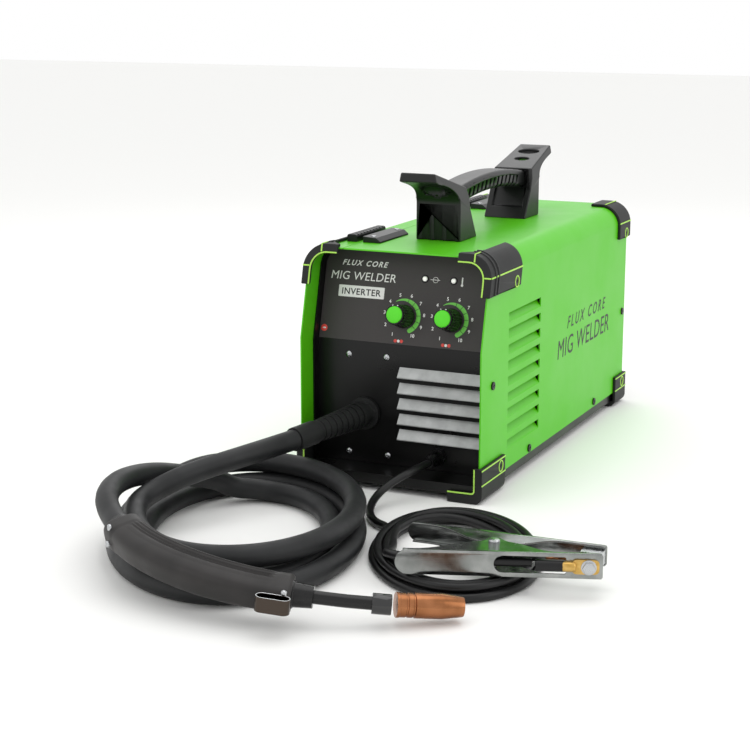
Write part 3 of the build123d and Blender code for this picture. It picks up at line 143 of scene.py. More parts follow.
def rough_range(tree, shader, coords, low, high, size_mm):
    """Lets roughness wander between two values with noise of that size, as handled surfaces do."""
    inputs = [("Scale", 1000.0 / size_mm), ("Detail", 4.0)]
    noise = add(tree, "ShaderNodeTexNoise", [("Vector", coords)], inputs)
    span = add(
        tree,
        "ShaderNodeMapRange",
        [("Value", noise.outputs["Fac"])],
        [("From Min", 0.3), ("From Max", 0.7), ("To Min", low), ("To Max", high)],
    )
    tree.links.new(span.outputs["Result"], shader.inputs["Roughness"])


def bump(tree, shader, height, distance_mm, strength):
    """Turns a height socket into surface bump of that depth."""
    node = add(
        tree,
        "ShaderNodeBump",
        [("Height", height)],
        [("Distance", distance_mm * MM), ("Strength", strength)],
    )
    tree.links.new(node.outputs["Normal"], shader.inputs["Normal"])


def grain(tree, shader, coords, size_mm, depth_mm, strength, stretch=(1.0, 1.0, 1.0), detail=2.0):
    """Moulded or sprayed grain: noise of that size as bump, stretched along an axis for brushing."""
    mapping = add(tree, "ShaderNodeMapping", [("Vector", coords)], [("Scale", stretch)])
    noise = add(
        tree,
        "ShaderNodeTexNoise",
        [("Vector", mapping.outputs["Vector"])],
        [("Scale", 1000.0 / size_mm), ("Detail", detail)],
    )
    bump(tree, shader, noise.outputs["Fac"], depth_mm, strength)


def mesh_object(name, points, faces, material, smooth=True, angle=None):
    """Makes a mesh object at the origin from an (n, 3) array and face index lists, normals outward."""
    mesh = bpy.data.meshes.new(name)
    mesh.from_pydata(np.asarray(points, float).tolist(), [], [list(map(int, face)) for face in faces])
    work = bmesh.new()
    work.from_mesh(mesh)
    bmesh.ops.remove_doubles(work, verts=work.verts, dist=1e-6)
    bmesh.ops.recalc_face_normals(work, faces=work.faces)
    work.to_mesh(mesh)
    work.free()
    piece = bpy.data.objects.new(name, mesh)
    bpy.context.scene.collection.objects.link(piece)
    piece.data.materials.append(material)
    if smooth:
        mesh.polygons.foreach_set("use_smooth", np.ones(len(mesh.polygons), bool))
        if angle:
            mesh.set_sharp_from_angle(angle=math.radians(angle))
    return piece


def grid_faces(rows, columns, wrap):
    """Quads of a rows by columns grid, row-major; wrap closes each row into a ring."""
    span = columns if wrap else columns - 1
    row, column = np.meshgrid(np.arange(rows - 1), np.arange(span), indexing="ij")
    after = (column + 1) % columns
    corners = [(row, column), (row, after), (row + 1, after), (row + 1, column)]
    return np.stack([step * columns + along for step, along in corners], -1).reshape(-1, 4)


def tube_skin(name, rings, material, angle=None):
    """Closed skin over an (n, m, 3) stack of rings, with a face fan at each end."""
    rows, columns, _ = rings.shape
    ends = np.stack([rings[0].mean(0), rings[-1].mean(0)])
    points = np.concatenate([rings.reshape(-1, 3), ends])
    faces = grid_faces(rows, columns, True).tolist()
    around = np.arange(columns)
    after = (around + 1) % columns
    start, end = rows * columns, rows * columns + 1
    faces += np.stack([after, around, np.full(columns, start)], -1).tolist()
    last = (rows - 1) * columns
    faces += np.stack([last + around, last + after, np.full(columns, end)], -1).tolist()
    return mesh_object(name, points, faces, material, angle=angle)


def turned(profile, origin, axis, sides):
    """A circle round axis for each (radius, height) of the profile in mm: a (profile, side, 3) array."""
    ahead = np.asarray(axis, float) / np.linalg.norm(axis)
    side = np.cross(ahead, [0.0, 0.0, 1.0] if abs(ahead[2]) < 0.9 else [1.0, 0.0, 0.0])
    side /= np.linalg.norm(side)
    other = np.cross(ahead, side)
    radius, height = (np.asarray(profile, float) * MM).T
    turn = np.linspace(0, 2 * np.pi, sides, endpoint=False)
    ring = np.cos(turn)[None, :, None] * side + np.sin(turn)[None, :, None] * other
    return np.asarray(origin) + radius[:, None, None] * ring + height[:, None, None] * ahead


def lathe(name, profile, origin, axis, material, sides=64, angle=40):
    """Turned solid: the profile's circles skinned and closed at both ends."""
    return tube_skin(name, turned(profile, origin, axis, sides), material, angle=angle)


def lathe_ring(name, profile, origin, axis, material, sides=40):
    """Turned ring: a closed (radius, height) outline in mm, its first point repeated last, carried round."""
    rings = turned(profile[:-1], origin, axis, sides).transpose(1, 0, 2)
    columns = rings.shape[1]
    row, column = np.meshgrid(np.arange(sides), np.arange(columns), indexing="ij")
    after, below = (column + 1) % columns, (row + 1) % sides
    corners = [(row, column), (row, after), (below, after), (below, column)]
    faces = np.stack([step * columns + along for step, along in corners], -1)
    return mesh_object(name, rings.reshape(-1, 3), faces.reshape(-1, 4), material, angle=40)


def laid_flat(curve, origin, right, up, rise=0.0):
    """A filled curve's mesh, and its points carried to the plane of right and up, rise metres off it."""
    scene = bpy.context.scene
    holder = bpy.data.objects.new(curve.name, curve)
    scene.collection.objects.link(holder)
    mesh = bpy.data.meshes.new_from_object(holder.evaluated_get(bpy.context.evaluated_depsgraph_get()))
    bpy.data.objects.remove(holder)
    bpy.data.curves.remove(curve)
    flat = np.empty(len(mesh.vertices) * 3)
    mesh.vertices.foreach_get("co", flat)
    flat = flat.reshape(-1, 3)
    right, up = np.asarray(right, float), np.asarray(up, float)
    out = np.cross(right, up)
    return mesh, np.asarray(origin) + flat[:, :1] * right + flat[:, 1:2] * up + (flat[:, 2:] + rise) * out


def plate(name, outlines, origin, right, up, thick, material, round_mm=0.3):
    """Flat plate with holes: closed outlines in mm, the first outermost, thick mm along the normal."""
    curve = bpy.data.curves.new(name, "CURVE")
    curve.dimensions = "2D"
    curve.fill_mode = "BOTH"
    edge = min(round_mm, thick * 0.45)
    curve.extrude = (thick / 2 - edge) * MM
    curve.bevel_depth = edge * MM
    curve.bevel_resolution = 1
    curve.offset = -edge * MM
    for outline in outlines:
        spline = curve.splines.new("POLY")
        spline.points.add(len(outline) - 1)
        flat = np.ones((len(outline), 4))
        flat[:, :2] = np.asarray(outline) * MM
        flat[:, 2] = 0.0
        spline.points.foreach_set("co", flat.ravel())
        spline.use_cyclic_u = True
    mesh, placed = laid_flat(curve, origin, right, up, thick * MM / 2)
    faces = [list(polygon.vertices) for polygon in mesh.polygons]
    bpy.data.meshes.remove(mesh)
    return mesh_object(name, placed, faces, material, angle=35)


def join(name, pieces):
    """Merges pieces into one object, keeping each one's material."""
    materials = []
    work = bmesh.new()
    for piece in pieces:
        material = piece.data.materials[0]
        if material not in materials:
            materials.append(material)
        start = len(work.faces)
        work.from_mesh(piece.data)
        work.faces.ensure_lookup_table()
        for face in work.faces[start:]:
            face.material_index = materials.index(material)
    mesh = bpy.data.meshes.new(name)
    work.to_mesh(mesh)
    work.free()
    for piece in pieces:
        old = piece.data
        bpy.data.objects.remove(piece)
        bpy.data.meshes.remove(old)
    for material in materials:
        mesh.materials.append(material)
    whole = bpy.data.objects.new(name, mesh)
    bpy.context.scene.collection.objects.link(whole)
    return whole


def polar(radius, degrees):
    """Points in a plane at a radius and an angle in degrees, either of them an array or a number."""
    turn = np.radians(degrees)
    return np.stack([radius * np.cos(turn), radius * np.sin(turn)], -1)


def arc(centre, radius, start, end, count=12):
    """Points on a circular arc in a plane, angles in degrees."""
    return np.asarray(centre) + polar(radius, np.linspace(start, end, count))


def rounded_box(x0, x1, y0, y1, radius, count=6):
    """Outline of a rectangle with round corners."""
    corners = [(x1 - radius, y1 - radius, 0), (x0 + radius, y1 - radius, 90)]
    corners += [(x0 + radius, y0 + radius, 180), (x1 - radius, y0 + radius, 270)]
    return np.concatenate([arc((x, y), radius, a, a + 90, count) for x, y, a in corners])


def wear(piece, body, nodes=()):
    """Says which body a piece rides, and which CAD nodes it stands for."""
    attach(piece, body)
    if nodes:
        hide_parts(*nodes)
    return piece


def on_label(u, v, lift=0.0):
    """Point on the leaning control label, u across and v up it, in mm."""
    return LABEL_ORIGIN + (u * LABEL_RIGHT + v * LABEL_UP + lift * LABEL_OUT) * MM


def on_gun(along, across, up=0.0):
    """Point in the gun's own plane, in metres."""
    return GUN_ORIGIN + along * GUN_ALONG + across * GUN_ACROSS + up * GUN_UP


def smooth_step(value, low, high):
    """0 below low, 1 above high, and 3t^2 - 2t^3 between."""
    t = np.clip((value - low) / (high - low), 0.0, 1.0)
    return t * t * (3.0 - 2.0 * t)


# ------------------------------------------------------------------ materials
MATERIALS = {}


SPECULAR = "Specular IOR Level"


def surface(key, name, colour, roughness, metallic=0.0, sockets=(), mottle=None, wander=None, texture=None):
    """One finish under its key. mottle, wander and texture hold what vary, rough_range and grain take."""
    material, tree, shader, coords = finish(name, colour, roughness, metallic, sockets)
    for look, values in ((vary, mottle), (rough_range, wander), (grain, texture)):
        if values:
            look(tree, shader, coords, *values)
    MATERIALS[key] = material
    return tree, shader, coords


def wound(parts, pitch_mm, axis, strength):
    """Wire or sheet laid side by side, pitch_mm apart: a sine wave along the axis as bump, 0.3 mm deep."""
    tree, shader, coords = parts
    scale = 1000.0 / pitch_mm / 6.283
    wave = add(tree, "ShaderNodeTexWave", [("Vector", coords)], [("Scale", scale)], bands_direction=axis)
    bump(tree, shader, wave.outputs["Fac"], 0.3, strength)


def make_materials(colours):
    """Every finish on the machine, named for what it really is."""
    # Powder coats: fine orange peel about 1.6 mm across.
    peel = (1.6, 0.05, 0.25)
    coat = [(SPECULAR, 0.35), ("Coat Weight", 0.08), ("Coat Roughness", 0.2)]
    green = colours.case_green
    surface("green", "powder_coat_green", green, 0.42, 0.0, coat, None, (0.38, 0.48, 60), peel)
    coat = [(SPECULAR, 0.3), ("Coat Weight", 0.06), ("Coat Roughness", 0.2)]
    surface("black", "powder_coat_black", "#060606", 0.32, 0.0, coat, wander=(0.26, 0.38, 45), texture=peel)

    # Printed polycarbonate overlay: matt, faint texture.
    dull = [(SPECULAR, 0.35)]
    surface("label", "printed_polycarbonate", colours.label_grey, 0.5, 0.0, dull, texture=(0.5, 0.02, 0.2))

    # Corner guards: matt rubber with spark-eroded grain and a two-shot lime inlay.
    mottle = ("#101111", "#181919", 22)
    surface("rubber", "moulded_rubber", "#131414", 0.55, 0.0, dull, mottle, texture=(0.7, 0.06, 0.35))
    surface("lime", "lime_inlay", colours.lime, 0.5, texture=(0.8, 0.03, 0.2))

    # Glass-filled nylon, spark-eroded: near black, broad soft highlight.
    satin = [(SPECULAR, 0.38)]
    mottle = ("#0e0f0f", "#151616", 30)
    surface("nylon", "glass_filled_nylon", "#111212", 0.36, 0.0, satin, mottle, texture=(0.55, 0.05, 0.3))

    # Cords: the hose's cover is matt and scuffed, the cable's jacket smoother and blacker.
    mottle = ("#161718", "#202122", 35)
    surface("hose", "hose_cover_rubber", "#1a1b1c", 0.5, 0.0, dull, mottle, (0.44, 0.58, 25), (0.9, 0.05, 0.3))
    surface("cable", "pvc_jacket", "#0c0c0d", 0.34, 0.0, dull, None, (0.32, 0.46, 18), (0.8, 0.03, 0.2))

    # Gun: warm grey ABS polished by hands in places, and a polished phenolic insulator.
    mottle = ("#1a1817", "#242120", 25)
    surface("abs", "grained_abs", "#1e1b1a", 0.44, 0.0, satin, mottle, (0.4, 0.54, 30), (0.5, 0.04, 0.3))
    coat = [("Coat Weight", 0.5), ("Coat Roughness", 0.05)]
    surface("phenolic", "phenolic_black", "#0b0b0c", 0.12, 0.0, coat, texture=(6.0, 0.02, 0.1))

    # Bright zinc on pressed steel: cool, soft rolling lines.
    mottle = ("#858886", "#9c9e9c", 14)
    rolled = (3.0, 0.03, 0.25, (1.0, 1.0, 6.0))
    surface("zinc", "bright_zinc", "#8f9290", 0.2, 1.0, (), mottle, (0.14, 0.28, 9), rolled)

    # Fasteners: plated, black oxide, and the trigger's dark chrome.
    surface("nickel", "nickel_plate", "#b9bbbd", 0.24, 1.0, wander=(0.18, 0.34, 3))
    surface("oxide", "black_oxide", "#2b2c2e", 0.35, 1.0, wander=(0.28, 0.45, 3))
    surface("dark_nickel", "dark_chrome", "#4a423c", 0.16, 1.0, wander=(0.12, 0.24, 4))

    # Turned, heat-mottled copper nozzle and stamped brass lug.
    mottle = ("#8e5c3b", "#a66f4b", 16, (0.35, 0.65), 1.0)
    surface("copper", "turned_copper", "#9a6542", 0.24, 1.0, (), mottle, (0.2, 0.3, 12))
    surface("brass", "stamped_brass", "#c8a25a", 0.3, 1.0, (), ("#b8924b", "#d2ae68", 6))

    # Milled aluminium and zinc-plated sheet inside the case, and a light grey on the louvre blades' upper and
    # front faces: painted highlight on the black front panel.
    brushed = (1.2, 0.03, 0.3, (1.0, 8.0, 1.0))
    surface("aluminium", "milled_aluminium", "#b4b7ba", 0.36, 1.0, (), None, (0.3, 0.45, 12), brushed)
    surface("sheet", "plated_sheet", "#9da1a4", 0.35, 1.0, (), ("#94989b", "#a8acaf", 18), (0.28, 0.42, 20))
    mottle = ("#9a9c9b", "#abadac", 12)
    surface("louvre_highlight", "louvre_painted_highlight", "#a3a5a4", 0.34, 0.55, (), mottle, texture=(1.2, 0.03, 0.2))

    # Level-wound welding wire, and the transformer's varnished core.
    wound(surface("wire", "wound_steel_wire", "#8f8a83", 0.32, 1.0), 0.9, "X", 0.8)
    wound(surface("core", "varnished_core", "#4b3a2b", 0.4), 1.0, "Z", 0.5)

    # Gloss black and red mouldings, and the board's solder mask.
    surface("gloss", "gloss_moulding", "#0a0a0b", 0.24, 0.0, satin, None, (0.2, 0.32, 20), (2.5, 0.02, 0.15))
    surface("red", "rocker_red", "#b3160f", 0.2, texture=(2.5, 0.02, 0.1))
    surface("board", "solder_mask", "#1d5b36", 0.35, 0.0, (), ("#184e2e", "#2b7047", 5, (0.45, 0.55)))

    # Knob caps, printing inks and the lamps' lenses; the lamps are unlit, and the lenses' faint emission is
    # painted glow.
    surface("cap", "cap_green", colours.cap_green, 0.4, texture=(0.6, 0.02, 0.2))
    ink = (0.4, 0.01, 0.1)
    surface("print_green", "print_green", colours.print_green, 0.45, texture=ink)
    for key, colour in (("print_white", "#e9e9e6"), ("print_dark", "#1b1b1b"), ("print_red", "#d8433a")):
        surface(key, key, colour, 0.5, texture=ink)
    painted_glow = [("Emission Color", linear("#f4f4ee")), ("Emission Strength", 0.35)]
    surface("lens", "lamp_lens", "#f4f4ee", 0.12, 0.0, painted_glow, texture=(1.0, 0.01, 0.1))


SLOT_MATERIALS = {
    "green_paint": "green",
    "black_paint": "black",
    "zinc_plate": "sheet",
    "label_film": "label",
    "bumper_rubber": "rubber",
    "plated_screw": "oxide",
    "handle_plastic": "nylon",
    "latch_plastic": "nylon",
    "knob_plastic": "gloss",
    "knob_cap": "cap",
    "pot_metal": "nickel",
    "lamp_lens": "lens",
    "switch_plastic": "nylon",
    "fan_plastic": "gloss",
    "rocker_plastic": "red",
    "spool_plastic": "gloss",
    "weld_wire": "wire",
    "spindle_nylon": "nylon",
    "feeder_aluminium": "aluminium",
    "roll_steel": "nickel",
    "motor_case": "black",
    "board_laminate": "board",
    "transformer_core": "core",
    "boot_rubber": "rubber",
    "hose_rubber": "hose",
    "gun_plastic": "abs",
    "trigger_steel": "zinc",
    "neck_paint": "gloss",
    "insulator_plastic": "phenolic",
    "nozzle_copper": "copper",
    "cable_rubber": "cable",
    "clamp_steel": "zinc",
    "lug_brass": "brass",
}


# ------------------------------------------------------------------ user settings
def length_field(name, description, default):
    """A length in metres that the user can set."""
    return bpy.props.FloatProperty(name=name, description=description, default=default, unit="LENGTH")


def colour_field(name, description, default):
    """An sRGB hex colour that the user can set."""
    return bpy.props.StringProperty(name=name, description=description, default=default)


class WelderSizes(bpy.types.PropertyGroup):
    """Sizes a user would change."""

    hose_across: length_field("Hose diameter", "Gun hose diameter", 0.021)
    cable_across: length_field("Cable diameter", "Ground cable diameter", 0.008)
    knob_across: length_field("Knob diameter", "Control knob diameter", 0.0245)
    inlay_width: length_field("Inlay width", "Width of the lime inlays", 0.0015)
    digit_height: length_field("Digit height", "Height of the dial numbers", 0.0034)


class WelderColours(bpy.types.PropertyGroup):
    """Colours a user would change, as sRGB hex."""

    case_green: colour_field("Case green", "Powder coat of the sheets", "#52bd08")
    lime: colour_field("Lime", "Inlay in the corner guards", "#a9dc55")
    label_grey: colour_field("Label grey", "Control label", "#3c3938")
    cap_green: colour_field("Cap green", "Knob caps", "#4fd60f")
    print_green: colour_field("Dial green", "Dial arcs", "#6cc94a")


# ------------------------------------------------------------------ cords
def nurbs_cord(name, points, radius, material):
    """One open NURBS curve of order 3 through its given control points, with a round section."""
    curve = bpy.data.curves.new(name, "CURVE")
    curve.dimensions = "3D"
    curve.bevel_depth = radius
    curve.bevel_resolution = 7
    curve.resolution_u = 8
    curve.use_fill_caps = True
    spline = curve.splines.new("NURBS")
    spline.points.add(len(points) - 1)
    flat = np.ones((len(points), 4))
    flat[:, :3] = points
    spline.points.foreach_set("co", flat.ravel())
    spline.order_u = 3
    spline.use_endpoint_u = True
    curve.materials.append(material)
    piece = bpy.data.objects.new(name, curve)
    bpy.context.scene.collection.objects.link(piece)
    return piece


def coil(centre, turn, stations, step):
    """Loose coil through stations of (angle, long half axis, short half axis, height, shift).

    At angle t the point is centre + (A cos t + shift) along the long axis + B sin t across it, and
    A, B, the shift and the height change linearly between stations.
    """
    keys = np.array(stations, float)
    angles = np.arange(keys[0, 0], keys[-1, 0] + 0.5 * step, step)
    values = [np.interp(angles, keys[:, 0], keys[:, column]) for column in range(1, keys.shape[1])]
    long_r, short_r, height, shift = values
    way = math.radians(turn)
    long_axis = np.array([math.cos(way), math.sin(way)])
    short_axis = np.array([-math.sin(way), math.cos(way)])
    along = long_r * np.cos(np.radians(angles)) + shift
    across = short_r * np.sin(np.radians(angles))
    flat = np.asarray(centre) + along[:, None] * long_axis + across[:, None] * short_axis
    return np.column_stack([flat, height])


class WELDER_OT_cords(bpy.types.Operator):
    """Builds the gun hose and the ground cable, each one smooth cord with its coil."""

    bl_idname = "welder.cords"
    bl_label = "Cords"

    def execute(self, context):
        sizes = context.scene.welder_sizes
        lead = [(-72.4, -307.5, 63.9), (-87, -350, 61.5), (-108, -391, 57), (-134, -428, 49)]
        # stations: angle, long half axis, short half axis, height, shift
        turns = coil(
            (-64.0, -438.0),
            115.0,
            [
                (85, 150, 93, 36, 0),
                (130, 148, 96, 34, 0),
                (180, 145, 104, 33, 0),
                (270, 152, 111, 33, 0),
                (360, 160, 111, 31, 0),
                (385, 162, 111, 30, 0),
                (440, 168, 110, 11.5, 0),
                (450, 169, 111, 10.5, 0),
                (540, 171, 111, 10.5, 0),
                (630, 171, 111, 10.5, 0),
                (690, 165, 104, 10.5, 0),
                (735, 146, 90, 10.5, 0),
                (810, 146, 88, 10.5, 0),
                (900, 148, 88, 10.5, 0),
                (990, 140, 88, 10.5, 0),
                (1060, 126, 86, 10.5, 0),
                (1095, 118, 76, 16, 0),
            ],
            15.0,
        )
        tail = [
            (-136, -352, 27),
            (-150, -385, 38),
            (-163, -425, 50),
            (-168, -470, 56),
            (-158, -513, 55.5),
            (-133, -549, 51),
            (-100.6, -575.9, 46.2),
        ]
        route = np.concatenate([lead, turns, tail]) * MM
        hose = nurbs_cord("gun_hose_run", route, sizes.hose_across / 2, MATERIALS["hose"])
        wear(hose, "case", ["gun_hose", "gun_hose_coil"])

        lead = [(40, -230, 33), (35, -254, 31.5), (21, -272, 24)]
        lead += [(11, -294, 13), (16, -322, 6), (34, -349, 5)]
        turns = coil(
            (141.0, -403.0),
            115.0,
            [
                (50, 111, 75, 6, 0),
                (90, 112, 76, 4, 0),
                (410, 112, 76, 4, 0),
                (450, 103.5, 67.5, 4, 0),
                (770, 103.5, 67.5, 4, 0),
                (810, 95, 59, 4, 0),
                (1040, 95, 59, 4, 0),
                (1100, 99, 63, 11, 0),
                (1400, 99, 63, 11.5, 0),
                (1460, 107.5, 71.5, 11.5, 0),
                (1820, 107.5, 71.5, 12, 0),
                (1890, 92, 56, 11, 0),
            ],
            20.0,
        )
        tail = [
            (96, -455, 16),
            (107, -477, 24),
            (128, -490, 28),
            (153, -488, 28.5),
            (178, -478.5, 27.5),
            (205, -469.5, 28.5),
            (233, -457.5, 28),
        ]
        route = np.concatenate([lead, turns, tail]) * MM
        cable = nurbs_cord("ground_cable_run", route, sizes.cable_across / 2, MATERIALS["cable"])
        wear(cable, "case", ["ground_cable", "ground_cable_coil"])
        return {"FINISHED"}


class WELDER_OT_stage(bpy.types.Operator):
    """Sets the camera, the pale floor and the soft studio lights."""

    bl_idname = "welder.stage"
    bl_label = "Stage"

    def execute(self, context):
        scene = context.scene
        camera = bpy.data.objects.new("camera", bpy.data.cameras.new("camera"))
        camera.location = (0.6878, -1.7476, 0.5055)
        camera.rotation_euler = (math.radians(77.0), 0.0, math.radians(25.0))
        camera.data.lens = 81.1
        camera.data.sensor_width = 36.0
        scene.collection.objects.link(camera)
        scene.camera = camera

        world = bpy.data.worlds.new("studio")
        world.use_nodes = True
        world.node_tree.nodes["Background"].inputs["Color"].default_value = (1.0, 1.0, 1.0, 1.0)
        world.node_tree.nodes["Background"].inputs["Strength"].default_value = 1.0
        scene.world = world
        scene.view_settings.view_transform = "Standard"

        for name, place, aim, size, power in (
            ("overhead_softbox", (0.1, -0.1, 1.9), (0.0, -0.1, 0.0), (1.6, 1.6), 9.0),
            ("right_softbox", (1.7, -0.5, 0.9), (0.0, 0.0, 0.15), (1.0, 1.2), 4.0),
            ("front_softbox", (-0.9, -1.8, 1.1), (0.0, -0.2, 0.1), (1.0, 0.8), 2.0),
            ("back_rim", (-0.6, 1.4, 1.2), (0.0, 0.0, 0.2), (1.0, 0.5), 3.0),
        ):
            lamp = bpy.data.lights.new(name, "AREA")
            lamp.shape = "RECTANGLE"
            lamp.size, lamp.size_y = size
            lamp.energy = power
            holder = bpy.data.objects.new(name, lamp)
            holder.location = place
            holder.rotation_euler = (Vector(aim) - Vector(place)).to_track_quat("-Z", "Y").to_euler()
            scene.collection.objects.link(holder)

        m, t, s, c = finish("studio_paper", "#f6f6f4", 0.8)
        grain(t, s, c, 2.0, 0.02, 0.1)
        corners = [(-8, -8, -0.0002), (8, -8, -0.0002), (8, 8, -0.0002), (-8, 8, -0.0002)]
        floor = mesh_object("floor", corners, [(0, 1, 2, 3)], m, smooth=False)
        return {"FINISHED"}


class WELDER_OT_case_finishes(bpy.types.Operator):
    """Gives every CAD node its real material."""

    bl_idname = "welder.case_finishes"
    bl_label = "Case finishes"

    def execute(self, context):
        for entry in frame["record"]["subparts"]:
            node = frame["nodes"][entry["node"]]
            for slot in node.material_slots:
                slot.material = MATERIALS[SLOT_MATERIALS[entry["material_slot"]]]
        return {"FINISHED"}


def soften(node, name, material, width_mm=0.8, segments=2, cutters=(), clamp=True):
    """Copies a CAD node, merges its loose triangles and flat faces, carves it, and rounds its edges."""
    source = frame["nodes"][node]
    mesh = source.data.copy()
    mesh.name = name
    work = bmesh.new()
    work.from_mesh(mesh)
    bmesh.ops.remove_doubles(work, verts=work.verts, dist=5e-6)
    bmesh.ops.dissolve_limit(work, angle_limit=math.radians(0.6), verts=work.verts, edges=work.edges)
    work.to_mesh(mesh)
    work.free()
    mesh.materials.clear()
    mesh.materials.append(MATERIALS[material])
    piece = bpy.data.objects.new(name, mesh)
    bpy.context.scene.collection.objects.link(piece)
    if cutters:
        carve(piece, cutters)
    mesh = piece.data
    mesh.polygons.foreach_set("use_smooth", np.ones(len(mesh.polygons), bool))
    mesh.set_sharp_from_angle(angle=math.radians(35))
    if width_mm:
        edge = piece.modifiers.new("edge", "BEVEL")
        edge.width = width_mm * MM
        edge.segments = segments
        edge.limit_method = "ANGLE"
        edge.angle_limit = math.radians(35)
        edge.harden_normals = True
        edge.use_clamp_overlap = clamp
    body = source["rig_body"]
    return wear(piece, body, [node])


def carve(piece, cutters):
    """Cuts closed meshes out of a piece."""
    for cutter in cutters:
        modifier = piece.modifiers.new("cut", "BOOLEAN")
        modifier.operation = "DIFFERENCE"
        modifier.solver = "EXACT"
        modifier.object = cutter
    ready = piece.evaluated_get(bpy.context.evaluated_depsgraph_get())
    mesh = bpy.data.meshes.new_from_object(ready)
    piece.modifiers.clear()
    piece.data = mesh
    for cutter in cutters:
        bpy.data.objects.remove(cutter)


def prism(name, outline, origin, right, up, low, high, material):
    """Closed prism: an outline in mm in the plane of right and up, run from low to high mm off it."""
    right, up = np.asarray(right, float), np.asarray(up, float)
    out = np.cross(right, up)
    flat = np.asarray(outline, float) * MM
    base = np.asarray(origin) + flat[:, :1] * right + flat[:, 1:2] * up
    rows = np.concatenate([base + low * MM * out, base + high * MM * out])
    count = len(flat)
    around = np.arange(count)
    after = (around + 1) % count
    faces = np.stack([around, after, after + count, around + count], -1).tolist()
    faces += [list(around[::-1]), list(around + count)]
    return mesh_object(name, rows, faces, material, smooth=False)


def strip(name, points, outs, width_mm, proud_mm, material):
    """Raised inlay: a low rounded bar, width_mm wide, along a path in mm, proud_mm out of the surface."""
    path = np.asarray(points, float) * MM
    outs = np.asarray(outs, float)
    ahead = np.gradient(path, axis=0)
    ahead /= np.linalg.norm(ahead, axis=1)[:, None]
    side = np.cross(ahead, outs)
    side /= np.linalg.norm(side, axis=1)[:, None]
    half, rise = width_mm / 2 * MM, proud_mm * MM
    section = [(-half, -0.4 * MM), (-half, rise * 0.5), (-half * 0.7, rise), (half * 0.7, rise)]
    section += [(half, rise * 0.5), (half, -0.4 * MM)]
    rings = np.stack([path + a * side + b * outs for a, b in section], 1)
    return tube_skin(name, rings, material, angle=50)


def bend_run(name, points, radius_mm, material, sides=14):
    """Round bar along a path in mm: a ring square to the path at every point, closed at both ends."""
    path = np.asarray(points, float) * MM
    ahead = np.gradient(path, axis=0)
    ahead /= np.linalg.norm(ahead, axis=1)[:, None]
    guide = np.array([0.0, 0.0, 1.0]) if abs(ahead[0][2]) < 0.9 else np.array([1.0, 0.0, 0.0])
    rings = []
    turn = np.linspace(0, 2 * np.pi, sides, endpoint=False)
    for place, way in zip(path, ahead):
        guide = guide - way * (guide @ way)
        guide /= np.linalg.norm(guide)
        other = np.cross(way, guide)
        rings.append(place + radius_mm * MM * (np.cos(turn)[:, None] * guide + np.sin(turn)[:, None] * other))
    return tube_skin(name, np.array(rings), material)


def words(
    name, text, origin, right, up, height_mm, material, weight_mm=0.0, lean=0.0, space=1.0, centred=False
):
    """Printed words as a thin mesh on the plane of right and up, capitals height_mm tall."""
    curve = bpy.data.curves.new(name, "FONT")
    curve.body = text
    curve.size = height_mm * MM / 0.69
    curve.offset = weight_mm * MM
    curve.shear = lean
    curve.space_character = space
    curve.extrude = 0.04 * MM
    curve.resolution_u = 4
    if centred:
        curve.align_x, curve.align_y = "CENTER", "CENTER"
    mesh, placed = laid_flat(curve, origin, right, up)
    mesh.vertices.foreach_set("co", placed.ravel())
    mesh.materials.clear()
    mesh.materials.append(material)
    piece = bpy.data.objects.new(name, mesh)
    bpy.context.scene.collection.objects.link(piece)
    return piece


def front_plane(x, z):
    """Point on the corner guards' front face in mm, and its normal: upright below the bend, then leaning."""
    y = CASE_FRONT - GUARD_PROUD + max(0.0, z - CASE_BEND) * math.tan(LEAN)
    lean = LEAN if z > CASE_BEND else 0.0
    return np.array([x, y, z]), np.array([0.0, -math.cos(lean), math.sin(lean)])


class WELDER_OT_case(bpy.types.Operator):
    """Rounds the sheets' edges, paints highlight onto the louvre blades' upper and front faces and prints the
    side.
    """

    bl_idname = "welder.case"
    bl_label = "Case"

    def execute(self, context):
        sheets = {"cover": "green", "side_door": "green", "base_tray": "black", "rear_panel": "black"}
        for node, material in sheets.items():
            soften(node, node + "_sheet", material, 0.35)
        front = soften("front_panel", "front_panel_sheet", "black", 0.35)
        # The louvre blades' up-facing tops and forward noses take a light grey: painted highlight on the black
        # blades.
        front.data.materials.append(MATERIALS["louvre_highlight"])
        for face in front.data.polygons:
            centre = face.center
            in_bank = -0.005 < centre.x < 0.089 and centre.y < -0.2043 and centre.z < 0.126
            highlight_top = face.normal.z > 0.3 and face.area > 4e-6
            highlight_nose = face.normal.y < -0.8 and centre.y < -0.2105
            if in_bank and (highlight_top or highlight_nose):
                face.material_index = 1
        side = np.array([0.1001, 0.0, 0.0])
        ink = MATERIALS["print_dark"]
        lines = (
            ("side_name", "MIG WELDER", -12.0, 101.5, 21.0, 0.0, 0.12, 1.06),
            ("side_type", "FLUX CORE", 20.0, 131.5, 13.0, 0.2, 0.35, 1.5),
        )
        prints = []
        for name, text, y, z, tall, *style in lines:
            place = side + np.array([0, y, z]) * MM
            prints.append(words(name, text, place, (0, 1, 0), (0, 0, 1), tall, ink, *style))
        wear(join("side_lettering", prints), "case")
        return {"FINISHED"}


